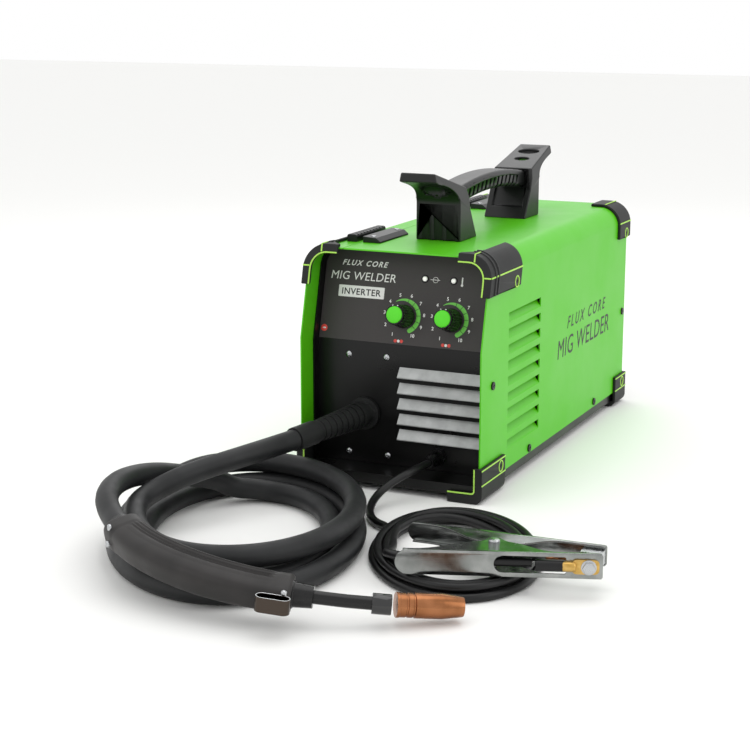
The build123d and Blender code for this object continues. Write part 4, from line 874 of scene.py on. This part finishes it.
class WELDER_OT_guards(bpy.types.Operator):
    """Rubber corner guards with their lime inlays and screw rings."""

    bl_idname = "welder.guards"
    bl_label = "Corner guards"

    def execute(self, context):
        self.width = context.scene.welder_sizes.inlay_width / MM
        for node in ("bumpers_top_right", "bumpers_top_left", "bumpers_bottom_right", "bumpers_bottom_left"):
            soften(node, node.replace("bumpers", "guards"), "rubber", 1.0, 3, (), False)
        fixed, on_door = [], []
        for sign, group in ((1, fixed), (-1, on_door)):
            self.top_front(sign, group)
            self.top_rear(sign, group)
            self.bottom(sign, fixed)
            for y in (self.screw_y(212.5, 85.0), 228.0):
                group.append(self.ring(sign, y, 212.5))
            for y in (self.screw_y(27.7, 62.0), 228.0):
                fixed.append(self.ring(sign, y, 27.7))
        wear(join("guard_inlays", fixed), "case")
        wear(join("guard_inlays_door", on_door), "door")
        return {"FINISHED"}

    def inlay(self, run, outs, proud=0.35):
        """Lime strip along a run; outs is one normal, or one for each point."""
        outs = [outs] * len(run) if np.ndim(outs) == 1 else outs
        return strip("inlay", run, outs, self.width, proud, MATERIALS["lime"])

    def top_line(self):
        """Round the inside of a top guard's end face, as (x, z)."""
        corner = arc((78.0, 223.0), 17.2, 90, 0, 10)
        return [(66.6, 240.2), (72.0, 240.2), *corner, (95.2, 215.0), (95.2, 207.6)]

    def top_front(self, sign, group):
        """The leaning front guard: inlays round its face, over it and along it, and two ridges."""
        run = [front_plane(sign * x, z) for x, z in self.top_line()]
        group.append(self.inlay([place for place, out in run], [out for place, out in run], 0.4))
        line = [*arc((78.0, 223.0), 25.65, 90, 0, 12), (GUARD_SIDE, 215.0), (GUARD_SIDE, 207.8)]
        ways = np.radians(np.linspace(90, 0, 12))
        outs = [(sign * math.cos(way), 0.0, math.sin(way)) for way in ways] + [(sign, 0, 0)] * 2
        for behind in (13.0, 21.0):
            run = [front_plane(sign * x, z)[0] + (0, behind, 0) for x, z in line]
            group.append(strip("ridge", run, outs, 3.2, 0.9, MATERIALS["rubber"]))
        start = front_plane(sign * GUARD_SIDE, CROSS_Z)[0]
        run = [start + np.array([0, 88.6, 0]) * t for t in np.linspace(0.01, 1, 6)]
        group.append(self.inlay(run, (sign, 0, 0)))
        out = front_plane(0, CROSS_Z)[1]
        run = [front_plane(sign * x, CROSS_Z)[0] for x in (96.0, 103.2)]
        group.append(self.inlay(run, out))
        start = front_plane(sign * CROSS_X, GUARD_TOP)[0]
        group.append(self.inlay([start + (0, step, 0) for step in (0.4, 7.0, 14.0)], (0, 0, 1)))
        run = [front_plane(sign * CROSS_X, z)[0] for z in (240.5, 248.4)]
        group.append(self.inlay(run, out))

    def top_rear(self, sign, group):
        """The upright rear guard: inlays along its side and top, and round its end face."""
        steps = (202.2, 220.0, 243.8)
        group.append(self.inlay([(sign * GUARD_SIDE, y, CROSS_Z) for y in steps], (sign, 0, 0)))
        group.append(self.inlay([(sign * CROSS_X, y, GUARD_TOP) for y in steps], (0, 0, 1)))
        group.append(self.inlay([(sign * x, 244.0, z) for x, z in self.top_line()], (0, 1, 0), 0.0))

    def bottom(self, sign, group):
        """The bottom guards: inlays round both end faces and two along each side."""
        corner = arc((92.0, 14.0), 3.2, 270, 360, 6)
        line = [(66.6, 10.6), (74.0, 10.6), (84.0, 10.8), *corner, (95.2, 26.0), (95.2, 36.4)]
        for y, side, proud in ((-244.0, -1, 0.35), (244.0, 1, 0.0)):
            group.append(self.inlay([(sign * x, y, z) for x, z in line], (0, side, 0), proud))
        for y_low, y_high in ((-243.8, -178.2), (202.2, 243.8)):
            for z in (20.0, 35.3):
                run = [(sign * GUARD_SIDE, y, z) for y in np.linspace(y_low, y_high, 4)]
                group.append(self.inlay(run, (sign, 0, 0)))

    def screw_y(self, z, length):
        """A front guard's screw stands 13 mm in from its rear edge."""
        return CASE_FRONT + max(0.0, z - CASE_BEND) * math.tan(LEAN) + length - 13.0

    def ring(self, sign, y, z):
        """Lime ring round a guard's screw."""
        profile = [(5.0, -1.2), (5.0, 0.2), (5.3, 0.45), (6.0, 0.45), (6.3, 0.2), (6.3, -1.2), (5.0, -1.2)]
        place = (sign * GUARD_SIDE * MM, y * MM, z * MM)
        return lathe_ring("inlay", profile, place, (sign, 0, 0), MATERIALS["lime"])


# each knob's name, body and place across the label, mm
KNOBS = (("voltage", "voltage_dial", -2.3), ("wire_speed", "wire_speed_dial", 50.3))
KNOB_V = 29.0  # the knobs' height up the label, mm
PRINT_LIFT = 0.47  # the printing's height off the label's plane, mm


def mark(outlines, ink, centre=(0.0, 0.0), lift=-0.1, thick=0.12, edge=0.01):
    """A printed mark on the label: outlines in mm from its centre, lift from the level of the printing."""
    place = on_label(*centre, PRINT_LIFT + lift)
    return plate("mark", outlines, place, LABEL_RIGHT, LABEL_UP, thick, MATERIALS[ink], edge)


class WELDER_OT_controls(bpy.types.Operator):
    """The control label's print, the two knobs, the lamps and the panel screws."""

    bl_idname = "welder.controls"
    bl_label = "Controls"

    def execute(self, context):
        sizes = context.scene.welder_sizes
        self.digit_height = sizes.digit_height / MM
        self.print_label()
        rings = []
        for u in (16.7, 48.2):
            profile = [(2.75, -1.0), (2.75, 0.5), (3.1, 0.9), (3.7, 0.9), (4.1, 0.4), (4.1, -0.3)]
            profile.append(profile[0])
            rings.append(lathe_ring("bezel", profile, on_label(u, 69.0, 0.45), LABEL_OUT, MATERIALS["gloss"]))
        wear(join("lamp_bezels", rings), "case")
        for name, body, u in KNOBS:
            self.knob_pieces(name, body, u, sizes.knob_across / MM / 2)
        screws = []
        for x, z in ((-62.0, 132.0), (-19.0, 132.0), (-17.5, 27.5), (-62.0, 27.5)):
            profile = [(3.3, -0.2), (3.3, 0.25), (2.9, 0.7), (1.9, 1.15), (1.1, 1.3), (1.0, 0.5)]
            profile.append((0.001, 0.45))
            place = (x * MM, -0.204, z * MM)
            screws.append(lathe("panel_screw", profile, place, (0, -1, 0), MATERIALS["nickel"], 28))
        wear(join("panel_screws", screws), "case")
        return {"FINISHED"}

    def print_label(self):
        """Dials, signs and words, joined with the greens first, then white, dark and red."""
        green, white, dark, red = [], [], [], []
        for name, body, u in KNOBS:
            green.append(mark([self.dial_outline()], "print_green", (u, KNOB_V), -0.1, 0.14))
            for angle in np.arange(-42, 100, 24.0):
                dark.append(self.tick(u, angle))
            for number in range(1, 11):
                white.append(self.digit(u, number))
            for side in (-3.4, 3.4):
                red.append(mark([arc((u - 3.6 + side, 3.4), 1.8, 0, 360, 19)[:-1]], "print_red"))
            white.append(mark([rounded_box(u - 5.0, u - 2.2, 2.0, 4.8, 0.9)], "print_white", lift=-0.05))
        # earth sign: a white bar on a red disc
        red.append(mark([arc((-91.3, 10.3), 3.6, 0, 360, 29)[:-1]], "print_red"))
        white.append(mark([rounded_box(-93.1, -89.5, 9.7, 10.9, 0.5)], "print_white", lift=0.0, thick=0.1))
        white.append(mark([rounded_box(-79.0, -27.0, 44.5, 56.5, 0.8)], "print_white"))
        on_plate = (-75.6, 47.2, PRINT_LIFT + 0.05)
        dark.append(self.line("INVERTER", on_plate, 6.4, "print_dark", 0.16, 0.0, 1.1))
        white.append(self.line("MIG WELDER", (-90.0, 62.5, PRINT_LIFT), 8.4, "print_white", 0.0, 0.12, 1.04))
        white.append(self.line("FLUX CORE", (-78.0, 77.5, PRINT_LIFT), 5.4, "print_white", 0.2, 0.35, 1.3))
        # thermometer and wave signs beside the lamps
        bulb = np.concatenate([arc((57.6, 65.2), 1.4, 120, 420, 14), arc((57.6, 72.6), 0.75, 0, 180, 6)])
        white.append(mark([bulb], "print_white"))
        loop = [arc((28.4, 68.6), radius, 0, 360, 29)[:-1] for radius in (3.0, 2.6)]
        white.append(mark(loop, "print_white", edge=0.0))
        white.append(mark([rounded_box(22.8, 33.2, 68.4, 68.9, 0.2)], "print_white"))
        wear(join("label_print", green + white + dark + red), "case")

    def line(self, text, place, tall, ink, *style):
        """A line of words on the label from its lower left corner."""
        return words("line", text, on_label(*place), LABEL_RIGHT, LABEL_UP, tall, MATERIALS[ink], *style)

    def dial_outline(self):
        """Crescent from 126 to -62 degrees, 18.3 in radius and 0.6 to 4.8 wide, with a round end."""
        turn = np.linspace(126, -62, 48)
        inner = 18.3 - np.interp(turn, [-62, 60, 126], [4.8, 4.2, 0.6])
        end = arc(polar(15.9, -62.0), 2.4, -62, -242, 7)[1:-1]
        return np.concatenate([polar(18.3, turn), end, polar(inner, turn)[::-1]])

    def tick(self, u, angle):
        """Dark bar across the dial at an angle."""
        ahead, across = polar(1.0, angle), polar(0.22, angle + 90.0)
        bar = [ahead * 12.9 + across, ahead * 12.9 - across, ahead * 18.5 - across, ahead * 18.5 + across]
        return mark([bar], "print_dark", (u, KNOB_V), 0.02, 0.1)

    def digit(self, u, number):
        """One of the ten numbers, 33.33 degrees apart clockwise from 240 degrees."""
        x, y = polar(22.2, 240.0 - (number - 1) * 33.33)
        place = on_label(u + x, KNOB_V + y, PRINT_LIFT)
        style = (self.digit_height, MATERIALS["print_white"], 0.1)
        return words("digit", str(number), place, LABEL_RIGHT, LABEL_UP, *style, centred=True)

    def knob_pieces(self, name, body, u, radius):
        """Fluted body, green cap and two pointer dots, all turning with the knob."""
        place = on_label(u, KNOB_V, 0.4)
        knob = self.knob(name + "_knob_body", place, radius)
        wear(knob, body, [name + "_knob"])
        profile = [(0.001, 23.0), (8.5, 23.0), (8.6, 25.6), (8.4, 26.05), (7.9, 26.3), (4.0, 26.45)]
        profile.append((0.001, 26.5))
        cap = lathe(name + "_cap_disc", profile, place, LABEL_OUT, MATERIALS["cap"])
        wear(cap, body, [name + "_knob_cap"])
        profile = [(0.001, 24.4), (0.7, 24.4), (0.7, 25.35), (0.001, 25.4)]
        dots = []
        for across in (-2.6, 2.6):
            spot = on_label(u + across, KNOB_V + 9.35, 0.4)
            dots.append(lathe("dot", profile, spot, LABEL_OUT, MATERIALS["print_white"], 16))
        wear(join(name + "_pointer_dots", dots), body)

    def knob(self, name, place, radius):
        """Fluted knob on a (height, radius) profile, its radius falling a little with height.

        Between two plain bands the radius dips 20 times round, by 0.9 mm times (1 - cos 20a) / 2.
        """
        profile = [(0.7, 0.3), (0.7, 11.6), (1.2, 12.1), (2.0, 12.2), (3.0, 12.1), (5.0, 11.9), (9.0, 11.5)]
        profile += [(13.0, 11.15), (17.0, 10.8), (21.0, 10.45), (23.0, 10.3), (24.4, 10.15), (25.2, 9.9)]
        profile += [(25.5, 9.4), (25.4, 8.8), (24.2, 8.7), (24.2, 0.01)]
        height, base = np.array(profile).T
        base = base * radius / 12.25
        flute = np.interp(height, [3.0, 5.0, 21.0, 23.0], [0.0, 0.9, 0.9, 0.0]) * (base > 10.2)
        turn = np.linspace(0, 2 * np.pi, 160, endpoint=False)
        ridge = (0.5 - 0.5 * np.cos(20 * turn))[None, :]
        reach = (base[:, None] - flute[:, None] * ridge) * MM
        ring = np.cos(turn)[None, :, None] * LABEL_RIGHT + np.sin(turn)[None, :, None] * LABEL_UP
        rings = place + reach[..., None] * ring + height[:, None, None] * MM * LABEL_OUT
        return tube_skin(name, rings, MATERIALS["gloss"], angle=40)


class WELDER_OT_handle(bpy.types.Operator):
    """Handle posts with their pockets and frames, the slotted grip, and the two latches."""

    bl_idname = "welder.handle"
    bl_label = "Handle"

    def execute(self, context):
        nylon = MATERIALS["nylon"]
        for side, node in ((-1, "handle_front_post"), (1, "handle_rear_post")):
            face = [(50, 258), (74.0, 258), (84.8, 278), (90.6, 298), (50, 298)]
            outline = [(HANDLE_Y + side * (y - HANDLE_Y), z) for y, z in face]
            if side < 0:
                outline = outline[::-1]
            cutters = [prism("cut", outline, (HANDLE_X * MM, 0, 0), (0, 1, 0), (0, 0, 1), -18.0, 18.0, nylon)]
            slope = np.array([0.0, side * 75.0, 19.0]) / math.hypot(75.0, 19.0)
            for along, half_x, half_y in ((54.0, 12.5, 7.0), (30.0, 8.5, 5.0)):
                oval = arc((0, 0), 1.0, 0, 360, 33)[:-1] * (half_x, half_y)
                middle = np.array([HANDLE_X, HANDLE_Y + side * 100.0, 300.5]) * MM + slope * along * MM
                cutters.append(prism("cut", oval, middle, (1, 0, 0), side * slope, -3.0, 5.0, nylon))
            cutters.append(self.pocket(side))
            soften(node, node.replace("handle_", "carry_"), "nylon", 1.3, 3, cutters, False)

        slots = []
        for step in np.linspace(-72, 72, 13):
            y_mid = HANDLE_Y + step
            z_mid = 306.0 - 8.0 * (step / 98.0) ** 2 - 12.5
            lean_box = [(-6.0, -7.0), (-0.4, -7.0), (6.2, 6.0), (0.6, 6.0)]
            box = [(y_mid + y, z_mid + z) for y, z in lean_box]
            for side in (-1, 1):
                middle = ((HANDLE_X + side * 13.0) * MM, 0, 0)
                slots.append(prism("cut", box, middle, (0, 1, 0), (0, 0, 1), -3.6, 3.6, nylon))
        soften("handle_grip", "carry_grip", "nylon", 0.0, 2, [join("slots", slots)])

        soften("latch_slider_front", "latch_bar_front", "nylon", 0.4)
        soften("latch_slider_rear", "latch_bar_rear", "nylon", 0.4)
        soften("latch_keepers", "latch_plates", "nylon", 0.8, 3)
        screws = []
        for y in (-140.0, 160.0):
            for end in (-29.0, 29.0):
                profile = [(2.7, -0.3), (2.7, 0.3), (2.2, 0.8), (1.2, 1.1), (0.9, 0.5), (0.001, 0.45)]
                place = np.array([-49.5, y + end, 251.1]) * MM
                screws.append(lathe("latch_screw", profile, place, (0.12, 0, 1), MATERIALS["nickel"], 24))
        wear(join("latch_screws", screws), "case")
        return {"FINISHED"}

    @staticmethod
    def pocket(side):
        """Hollow under the lip: an egg, centre + (15.5 cos a cos b, 14 cos a sin b, 13 sin a) mm."""
        rise = np.linspace(-np.pi / 2, np.pi / 2, 17)[1:-1]
        round_way = np.linspace(0, 2 * np.pi, 32, endpoint=False)
        a, b = np.meshgrid(rise, round_way, indexing="ij")
        rings = np.stack([15.5 * np.cos(a) * np.cos(b), 14.0 * np.cos(a) * np.sin(b), 13.0 * np.sin(a)], -1)
        rings = (rings + [HANDLE_X, HANDLE_Y + side * 137.0, 294.0]) * MM
        return tube_skin("cut", rings, MATERIALS["nylon"])


class WELDER_OT_boot(bpy.types.Operator):
    """Corrugated hose boot and the cable's gland."""

    bl_idname = "welder.boot"
    bl_label = "Boot and gland"

    def execute(self, context):
        soften("hose_boot", "hose_boot_rubber", "rubber", 0.5)
        soften("cable_gland", "cable_gland_nut", "gloss", 0.5)
        return {"FINISHED"}


class WELDER_OT_gun(bpy.types.Operator):
    """The gun: ribbed handle, trigger cup, insulator and copper nozzle."""

    bl_idname = "welder.gun"
    bl_label = "Gun"

    def execute(self, context):
        M = MATERIALS
        handle = self.handle()
        rear_ring = self.end_ring(-129.6, 12.6, 8.0, M["gloss"])
        front_ring = self.end_ring(-71.0, 11.6, 4.0, M["gloss"])
        wear(join("gun_shell", [handle, rear_ring, front_ring]), "case", ["gun_handle"])
        screws = []
        for angle, radius, up in ((-126.5, 204.0, 8.0), (-126.5, 204.4, -7.0)):
            place, out = self.bow(angle, radius, up), self.heading(*polar(1.0, angle))
            profile = [(3.0, -1.0), (3.0, 0.3), (2.5, 0.9), (1.3, 1.3), (1.0, 0.6), (0.001, 0.5)]
            screws.append(lathe("gun_screw", profile, place, out, M["nickel"], 24))
        pivot = self.bow(-71.6, 206.2, 8.4)
        profile = [(2.6, -2.0), (2.6, 0.4), (2.0, 1.2), (1.0, 1.7), (0.001, 1.8)]
        screws.append(lathe("gun_screw", profile, pivot, GUN_UP, M["nickel"], 24))
        wear(join("gun_screws", screws), "case")

        outer = self.stadium(-75.9, -71.3, 213.6, 5.8)
        inner = self.stadium(-75.9, -71.3, 213.6, 4.7)
        cup = prism("gun_trigger_cup", outer, GUN_ORIGIN, GUN_ALONG, GUN_ACROSS, -6.5, 6.5, M["dark_nickel"])
        carve(cup, [prism("cut", inner, GUN_ORIGIN, GUN_ALONG, GUN_ACROSS, -4.5, 8.0, M["dark_nickel"])])
        cup.data.materials.clear()
        cup.data.materials.append(M["dark_nickel"])
        cup.data.materials.append(M["nickel"])
        # The cup's top faces take bright nickel over the dark chrome: painted highlight on its rim.
        for face in cup.data.polygons:
            rim_highlight = (np.array(face.center) - GUN_ORIGIN) @ GUN_UP > 0.0064
            face.material_index = int(rim_highlight)
        edge = cup.modifiers.new("edge", "BEVEL")
        edge.width, edge.segments, edge.limit_method = 0.35 * MM, 2, "ANGLE"
        edge.angle_limit = math.radians(50)
        wear(cup, "trigger", ["gun_trigger"])

        profile = [(5.6, -3.0), (8.2, -3.0), (8.6, -2.5), (8.6, 12.2), (8.3, 12.9), (7.6, 13.0), (3.2, 13.0)]
        axis = self.heading(22.0, 11.0)
        insulator = lathe("insulator_sleeve", profile, on_gun(0.146, 0.017), axis, M["phenolic"])
        wear(insulator, "case", ["gun_insulator"])

        axis = self.heading(48.0, 33.0)
        profile = [(8.4, 0), (10.2, 0), (10.5, 0.4), (10.5, 2.4), (10.1, 2.9), (10.1, 7.6), (9.6, 8.0)]
        profile += [(9.6, 9.2), (10.2, 9.7), (10.2, 13.4), (9.6, 13.8), (9.6, 15.0), (10.5, 15.6)]
        profile += [(10.5, 38.0), (10.4, 39.0)]
        profile += [(8.4, 55.0), (8.1, 56.0), (7.5, 56.2), (7.0, 55.6), (7.0, 26.0), (0.001, 26.0)]
        nozzle = lathe("nozzle_shell", profile, on_gun(0.160, 0.0255), axis, M["copper"], 72, 30)
        wear(nozzle, "case", ["gun_nozzle"])
        return {"FINISHED"}

    @staticmethod
    def stadium(start, end, radius, half):
        """Loop in the gun's plane: round ends of radius half at two angles, straight sides between."""
        first, last = (BOW_CENTRE / MM + polar(radius, angle) for angle in (start, end))
        return np.concatenate([arc(first, half, start, start - 180), arc(last, half, end - 180, end - 360)])

    @staticmethod
    def bow(angle, radius_mm, up_mm=0.0):
        """Point at an angle and radius about the handle's bow."""
        return on_gun(*(BOW_CENTRE + radius_mm * MM * polar(1.0, angle)), up_mm * MM)

    @staticmethod
    def heading(along, across):
        """Unit direction in the gun's plane."""
        return (along * GUN_ALONG + across * GUN_ACROSS) / math.hypot(along, across)

    def end_ring(self, angle, radius_mm, length_mm, material):
        """Dark collar at an end of the handle, facing away from the handle's middle."""
        cosine, sine = polar(1.0, angle)
        ahead = self.heading(sine, -cosine)
        profile = [(0.001, 0), (radius_mm - 0.8, 0), (radius_mm, 0.8), (radius_mm, length_mm - 0.8)]
        profile += [(radius_mm - 0.8, length_mm), (0.001, length_mm)]
        out = ahead if angle < -100 else -ahead
        return lathe("end_ring", profile, self.bow(angle, 187.0), out, material)

    def handle(self):
        """Bowed grip: a skin over rounded-box sections along the bow.

        A section is (16.6 c, 13.6 d) mm, with c and d the signed 0.62 powers of cosine and sine, rolled by
        GUN_ROLL. Ridges 1.3 mm tall and 0.22 apart in c run along its upper inner face.
        """
        first, last = [0.0, 0.002, 0.006, 0.012], [0.988, 0.994, 0.998, 1.0]
        stations = np.concatenate([first, np.linspace(0.02, 0.98, 90), last])
        around = np.linspace(0, 2 * np.pi, 128, endpoint=False)
        cosine, sine = np.cos(around), np.sin(around)
        box_c = np.sign(cosine) * np.abs(cosine) ** 0.62
        box_s = np.sign(sine) * np.abs(sine) ** 0.62
        rings = []
        for s in stations:
            angle = -130.2 + 60.0 * s
            end = min(s, 1 - s)
            tuck = 1.0 - 0.12 * (1 - smooth_step(end, 0.0, 0.012))
            belly = 1.0 + 0.02 * math.sin(math.pi * s)
            wide, tall = 16.6 * tuck * belly, 13.6 * tuck * (1.0 - 0.1 * smooth_step(s, 0.55, 1.0))
            rear_band = 0.5 * smooth_step(s, 0.0, 0.01) * (1 - smooth_step(s, 0.085, 0.09))
            front_band = 0.4 * smooth_step(s, 0.93, 0.935)
            zone = (box_s > 0.45) & (box_c < 0.1)
            along_zone = smooth_step(s, 0.1, 0.12) * (1 - smooth_step(s, 0.9, 0.92))
            ridge = 0.5 - 0.5 * np.cos(2 * np.pi * (box_c - 0.1) / 0.22)
            lift = np.where(zone, 1.3 * (ridge - 0.5) * along_zone, 0.0)
            across = (wide + rear_band + front_band) * box_c
            rise = (tall + rear_band + front_band) * box_s + lift
            radius = 187.0 + across * math.cos(GUN_ROLL) + rise * math.sin(GUN_ROLL)
            height = rise * math.cos(GUN_ROLL) - across * math.sin(GUN_ROLL)
            rings.append([self.bow(angle, out, up) for out, up in zip(radius, height)])
        return tube_skin("gun_shell_skin", np.array(rings), MATERIALS["abs"], angle=50)


class WELDER_OT_clamp(bpy.types.Operator):
    """Ground clamp: two pressed channel arms, rivet, spring, braid, lug and bolt."""

    bl_idname = "welder.clamp"
    bl_label = "Ground clamp"

    def execute(self, context):
        fixed = self.arm("clamp_arm_fixed", -29.0, -84.0, 11.0, 17.0, 39.0, 0.0, True)
        wear(fixed, "case", ["clamp_fixed_arm"])
        moving = self.arm("clamp_arm_moving", 31.0, -91.0, 17.0, 18.8, 37.2, -17.4, False)
        wear(moving, "clamp_arm", ["clamp_moving_arm"])
        wear(self.rivet_and_spring(), "case", ["clamp_spring"])
        wear(self.lug_and_bolt(), "case", ["clamp_lug"])
        wear(self.braid(), "case")
        return {"FINISHED"}

    def rivet_and_spring(self):
        """Headed rivet, and a spring of four and a half turns with one short leg, wound round it."""
        nickel = MATERIALS["nickel"]
        profile = [(0.001, 15.3), (4.6, 15.6), (5.0, 16.3), (5.0, 17.0), (3.0, 17.0), (3.0, 39.0)]
        profile += [(5.0, 39.0), (5.0, 39.6), (4.4, 40.6), (2.2, 41.0), (0.001, 41.1)]
        post = lathe("rivet", profile, CLAMP_RIVET * MM, (0, 0, 1), nickel, 40)
        x, y, _ = CLAMP_RIVET
        turn = np.linspace(0, 2 * np.pi * 4.5, 160)
        turns = np.stack([x + 6.2 * np.cos(turn), y + 6.2 * np.sin(turn), 21.5 + 13.0 * turn / turn[-1]], -1)
        spring = bend_run("spring", [(x + 6.2, y - 16.0, 21.5), *turns], 1.0, nickel, 10)
        return join("clamp_rivet_spring", [post, spring])

    def lug_and_bolt(self):
        """Brass tongue and barrel, a rubber sleeve over the cable's end, and the washer and bolt."""
        M = MATERIALS
        origin, along, across = self.axes(0.0)
        web = origin - across * 29.1 * MM + UP * 28.0 * MM

        def at(ahead, inward):
            return web + along * ahead * MM + across * inward * MM

        tongue = plate("tongue", [rounded_box(66.0, 89.0, -6.5, 6.5, 4.0)], web, along, UP, 1.6, M["brass"])
        profile = [(0.001, 0), (4.2, 0), (4.6, 0.6), (4.6, 10.0), (4.0, 10.8), (0.001, 10.8)]
        barrel = lathe("barrel", profile, at(58.0, -0.5), along, M["brass"], 32)
        profile = [(0.001, 0), (6.4, 0), (6.6, 0.3), (6.6, 1.1), (6.2, 1.4), (0.001, 1.4)]
        washer = lathe("washer", profile, at(80.0, -1.6), -across, M["nickel"], 40)
        hexagon = polar(5.6, np.linspace(0, 360, 7)[:-1])
        bolt = plate("bolt", [hexagon], at(80.0, -3.0), along, UP, 2.9, M["nickel"], 0.6)
        profile = [(0.001, 0.0), (4.0, 0.0), (4.9, 0.4), (5.1, 2.0), (5.1, 24.0), (4.8, 25.4), (4.0, 26.0)]
        sleeve = lathe("sleeve", [*profile, (0.001, 26.0)], at(35.0, 0.9), along, M["cable"], 40)
        return join("lug_and_bolt", [tongue, barrel, washer, bolt, sleeve])

    def braid(self):
        """Copper braid: two layers of seven strands bowed from the jaw to the lug.

        Each strand bows by 5.5 sin(pi t) mm and waves five times by about half a millimetre.
        """
        origin, along, across = self.axes(0.0)
        t = np.linspace(0, 1, 40)
        ahead = 44.0 + 36.0 * t
        strands = []
        for number in range(14):
            lane, layer = number % 7, number // 7
            phase = 10 * np.pi * t + number * 0.9
            aside = -23.5 + 5.5 * np.sin(np.pi * t) + layer * 1.2 + 0.5 * np.sin(phase)
            path = origin / MM + ahead[:, None] * along + aside[:, None] * across
            path[:, 2] = 28.0 + (lane - 3.0) * 1.5 + 0.6 * np.cos(phase)
            strands.append(bend_run("strand", path, 0.75, MATERIALS["copper"], 8))
        return join("clamp_braid", strands)

    @staticmethod
    def axes(turn):
        """The rivet's place on the floor, and directions along and across an arm turned from the fixed one."""
        cosine, sine = polar(1.0, 20.1 + turn)
        return CLAMP_RIVET * MM, np.array([cosine, sine, 0.0]), np.array([-sine, cosine, 0.0])

    def arm(self, name, web, back, jaw_depth, low, high, turn, window):
        """Pressed channel: a tall web with a round rear end, two flanges and a toothed jaw."""
        origin, along, across = self.axes(turn)
        side = -1.0 if web < 0 else 1.0
        half = (high - low) / 2
        zinc = MATERIALS["zinc"]
        rear = arc((back + half, 0.0), half, 90, 270, 24)
        nose = [(90.5, -half), (92.0, -half + 1.5), (92.0, half - 1.5), (90.5, half)]
        outlines = [np.concatenate([rear, nose])]
        if window:
            end = [(60.0, -7.1), (61.0, -6.1), (61.0, 6.7), (60.0, 7.7)]
            outlines.append(np.concatenate([arc((7.5, 0.3), 7.4, 90, 270, 16), end]))
        face = web if side > 0 else web + SHEET
        start = origin + UP * (low + half) * MM + across * face * MM
        pieces = [plate("web", outlines, start, along, UP, SHEET, zinc, 0.3)]
        shapes = [self.flange(abs(web), back, half), polar(3.1, np.linspace(0, 360, 25)[:-1])]
        shapes = [shape * (1.0, -side) for shape in shapes]
        for z in (low, high - SHEET):
            pieces.append(plate("flange", shapes, origin + UP * z * MM, along, across, SHEET, zinc, 0.3))
        pieces.append(self.jaw(web, side, jaw_depth, low, high, turn))
        return join(name, pieces)

    @staticmethod
    def flange(depth, back, half):
        """Outline of a flange whose inner edge swells to an ear round the rivet.

        From 9 mm off the rivet the edge drops by (depth - 5.5) times (1 + cos)/2 to the power 1.15.
        """

        def reach(x, span):
            share = np.clip((np.abs(x) - 9.0) / span, 0, 1)
            return depth - 4.5 - (depth - 5.5) * (0.5 + 0.5 * np.cos(np.pi * share)) ** 1.15

        rear, front = np.linspace(back + half * 0.6, -9.0, 26), np.linspace(9.0, 88.0, 26)
        rear_edge = np.stack([rear, -reach(rear, 62.0)], -1)[:-1]
        front_edge = np.stack([front, -reach(front, 46.0)], -1)[1:]
        outer = [(91.0, 3.0 - depth), (91.0, 0.1 - depth), (back + half, 0.1 - depth)]
        outer += [(back + half * 0.6, 1.2 - depth)]
        return np.concatenate([rear_edge, arc((0.0, 0.0), 9.0, 150, 30, 13), front_edge, outer])

    def jaw(self, web, side, depth, low, high, turn):
        """Jaw with seven teeth, 2.6 mm apart, between the flanges."""
        origin, along, across = self.axes(turn)
        teeth = [(72.0, 0.0)]
        for x in 72.0 + 2.6 * np.arange(7):
            teeth += [(x + 0.6, 3.6), (x + 2.0, 3.6), (x + 2.6, 2.2)]
        teeth = np.array([*teeth, (91.0, 0.0)])
        teeth[:, 1] = web - side * (depth - 3.6 + teeth[:, 1])
        root = [(91.0, web - side), (72.0, web - side)]
        outline = np.concatenate([teeth, root])
        return prism("jaw", outline, origin, along, across, low + 3.0, high - 3.0, MATERIALS["nickel"])


class WELDER_PT_panel(bpy.types.Panel):
    """Sidebar panel with the settings and one button a group."""

    bl_idname = "WELDER_PT_panel"
    bl_label = "MIG Welding Machine"
    bl_space_type = "VIEW_3D"
    bl_region_type = "UI"
    bl_category = "Welder"

    def draw(self, context):
        column = self.layout.column()
        for group in (context.scene.welder_sizes, context.scene.welder_colours):
            for field in group.bl_rna.properties:
                if not field.is_readonly and field.identifier != "name":
                    column.prop(group, field.identifier)
        for operator in OPERATORS:
            column.operator(operator.bl_idname)


OPERATORS = (
    WELDER_OT_stage,
    WELDER_OT_case_finishes,
    WELDER_OT_case,
    WELDER_OT_guards,
    WELDER_OT_controls,
    WELDER_OT_handle,
    WELDER_OT_boot,
    WELDER_OT_gun,
    WELDER_OT_clamp,
    WELDER_OT_cords,
)
CLASSES = (WelderSizes, WelderColours, *OPERATORS, WELDER_PT_panel)


def register():
    for entry in CLASSES:
        bpy.utils.register_class(entry)
    bpy.types.Scene.welder_sizes = bpy.props.PointerProperty(type=WelderSizes)
    bpy.types.Scene.welder_colours = bpy.props.PointerProperty(type=WelderColours)


def unregister():
    del bpy.types.Scene.welder_colours
    del bpy.types.Scene.welder_sizes
    for entry in reversed(CLASSES):
        bpy.utils.unregister_class(entry)


def main():
    """Registers the add-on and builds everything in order."""
    register()
    make_materials(bpy.context.scene.welder_colours)
    bpy.ops.welder.stage()
    bpy.ops.welder.case_finishes()
    bpy.ops.welder.case()
    bpy.ops.welder.guards()
    bpy.ops.welder.controls()
    bpy.ops.welder.handle()
    bpy.ops.welder.boot()
    bpy.ops.welder.gun()
    bpy.ops.welder.clamp()
    bpy.ops.welder.cords()


if __name__ == "__main__":
    main()
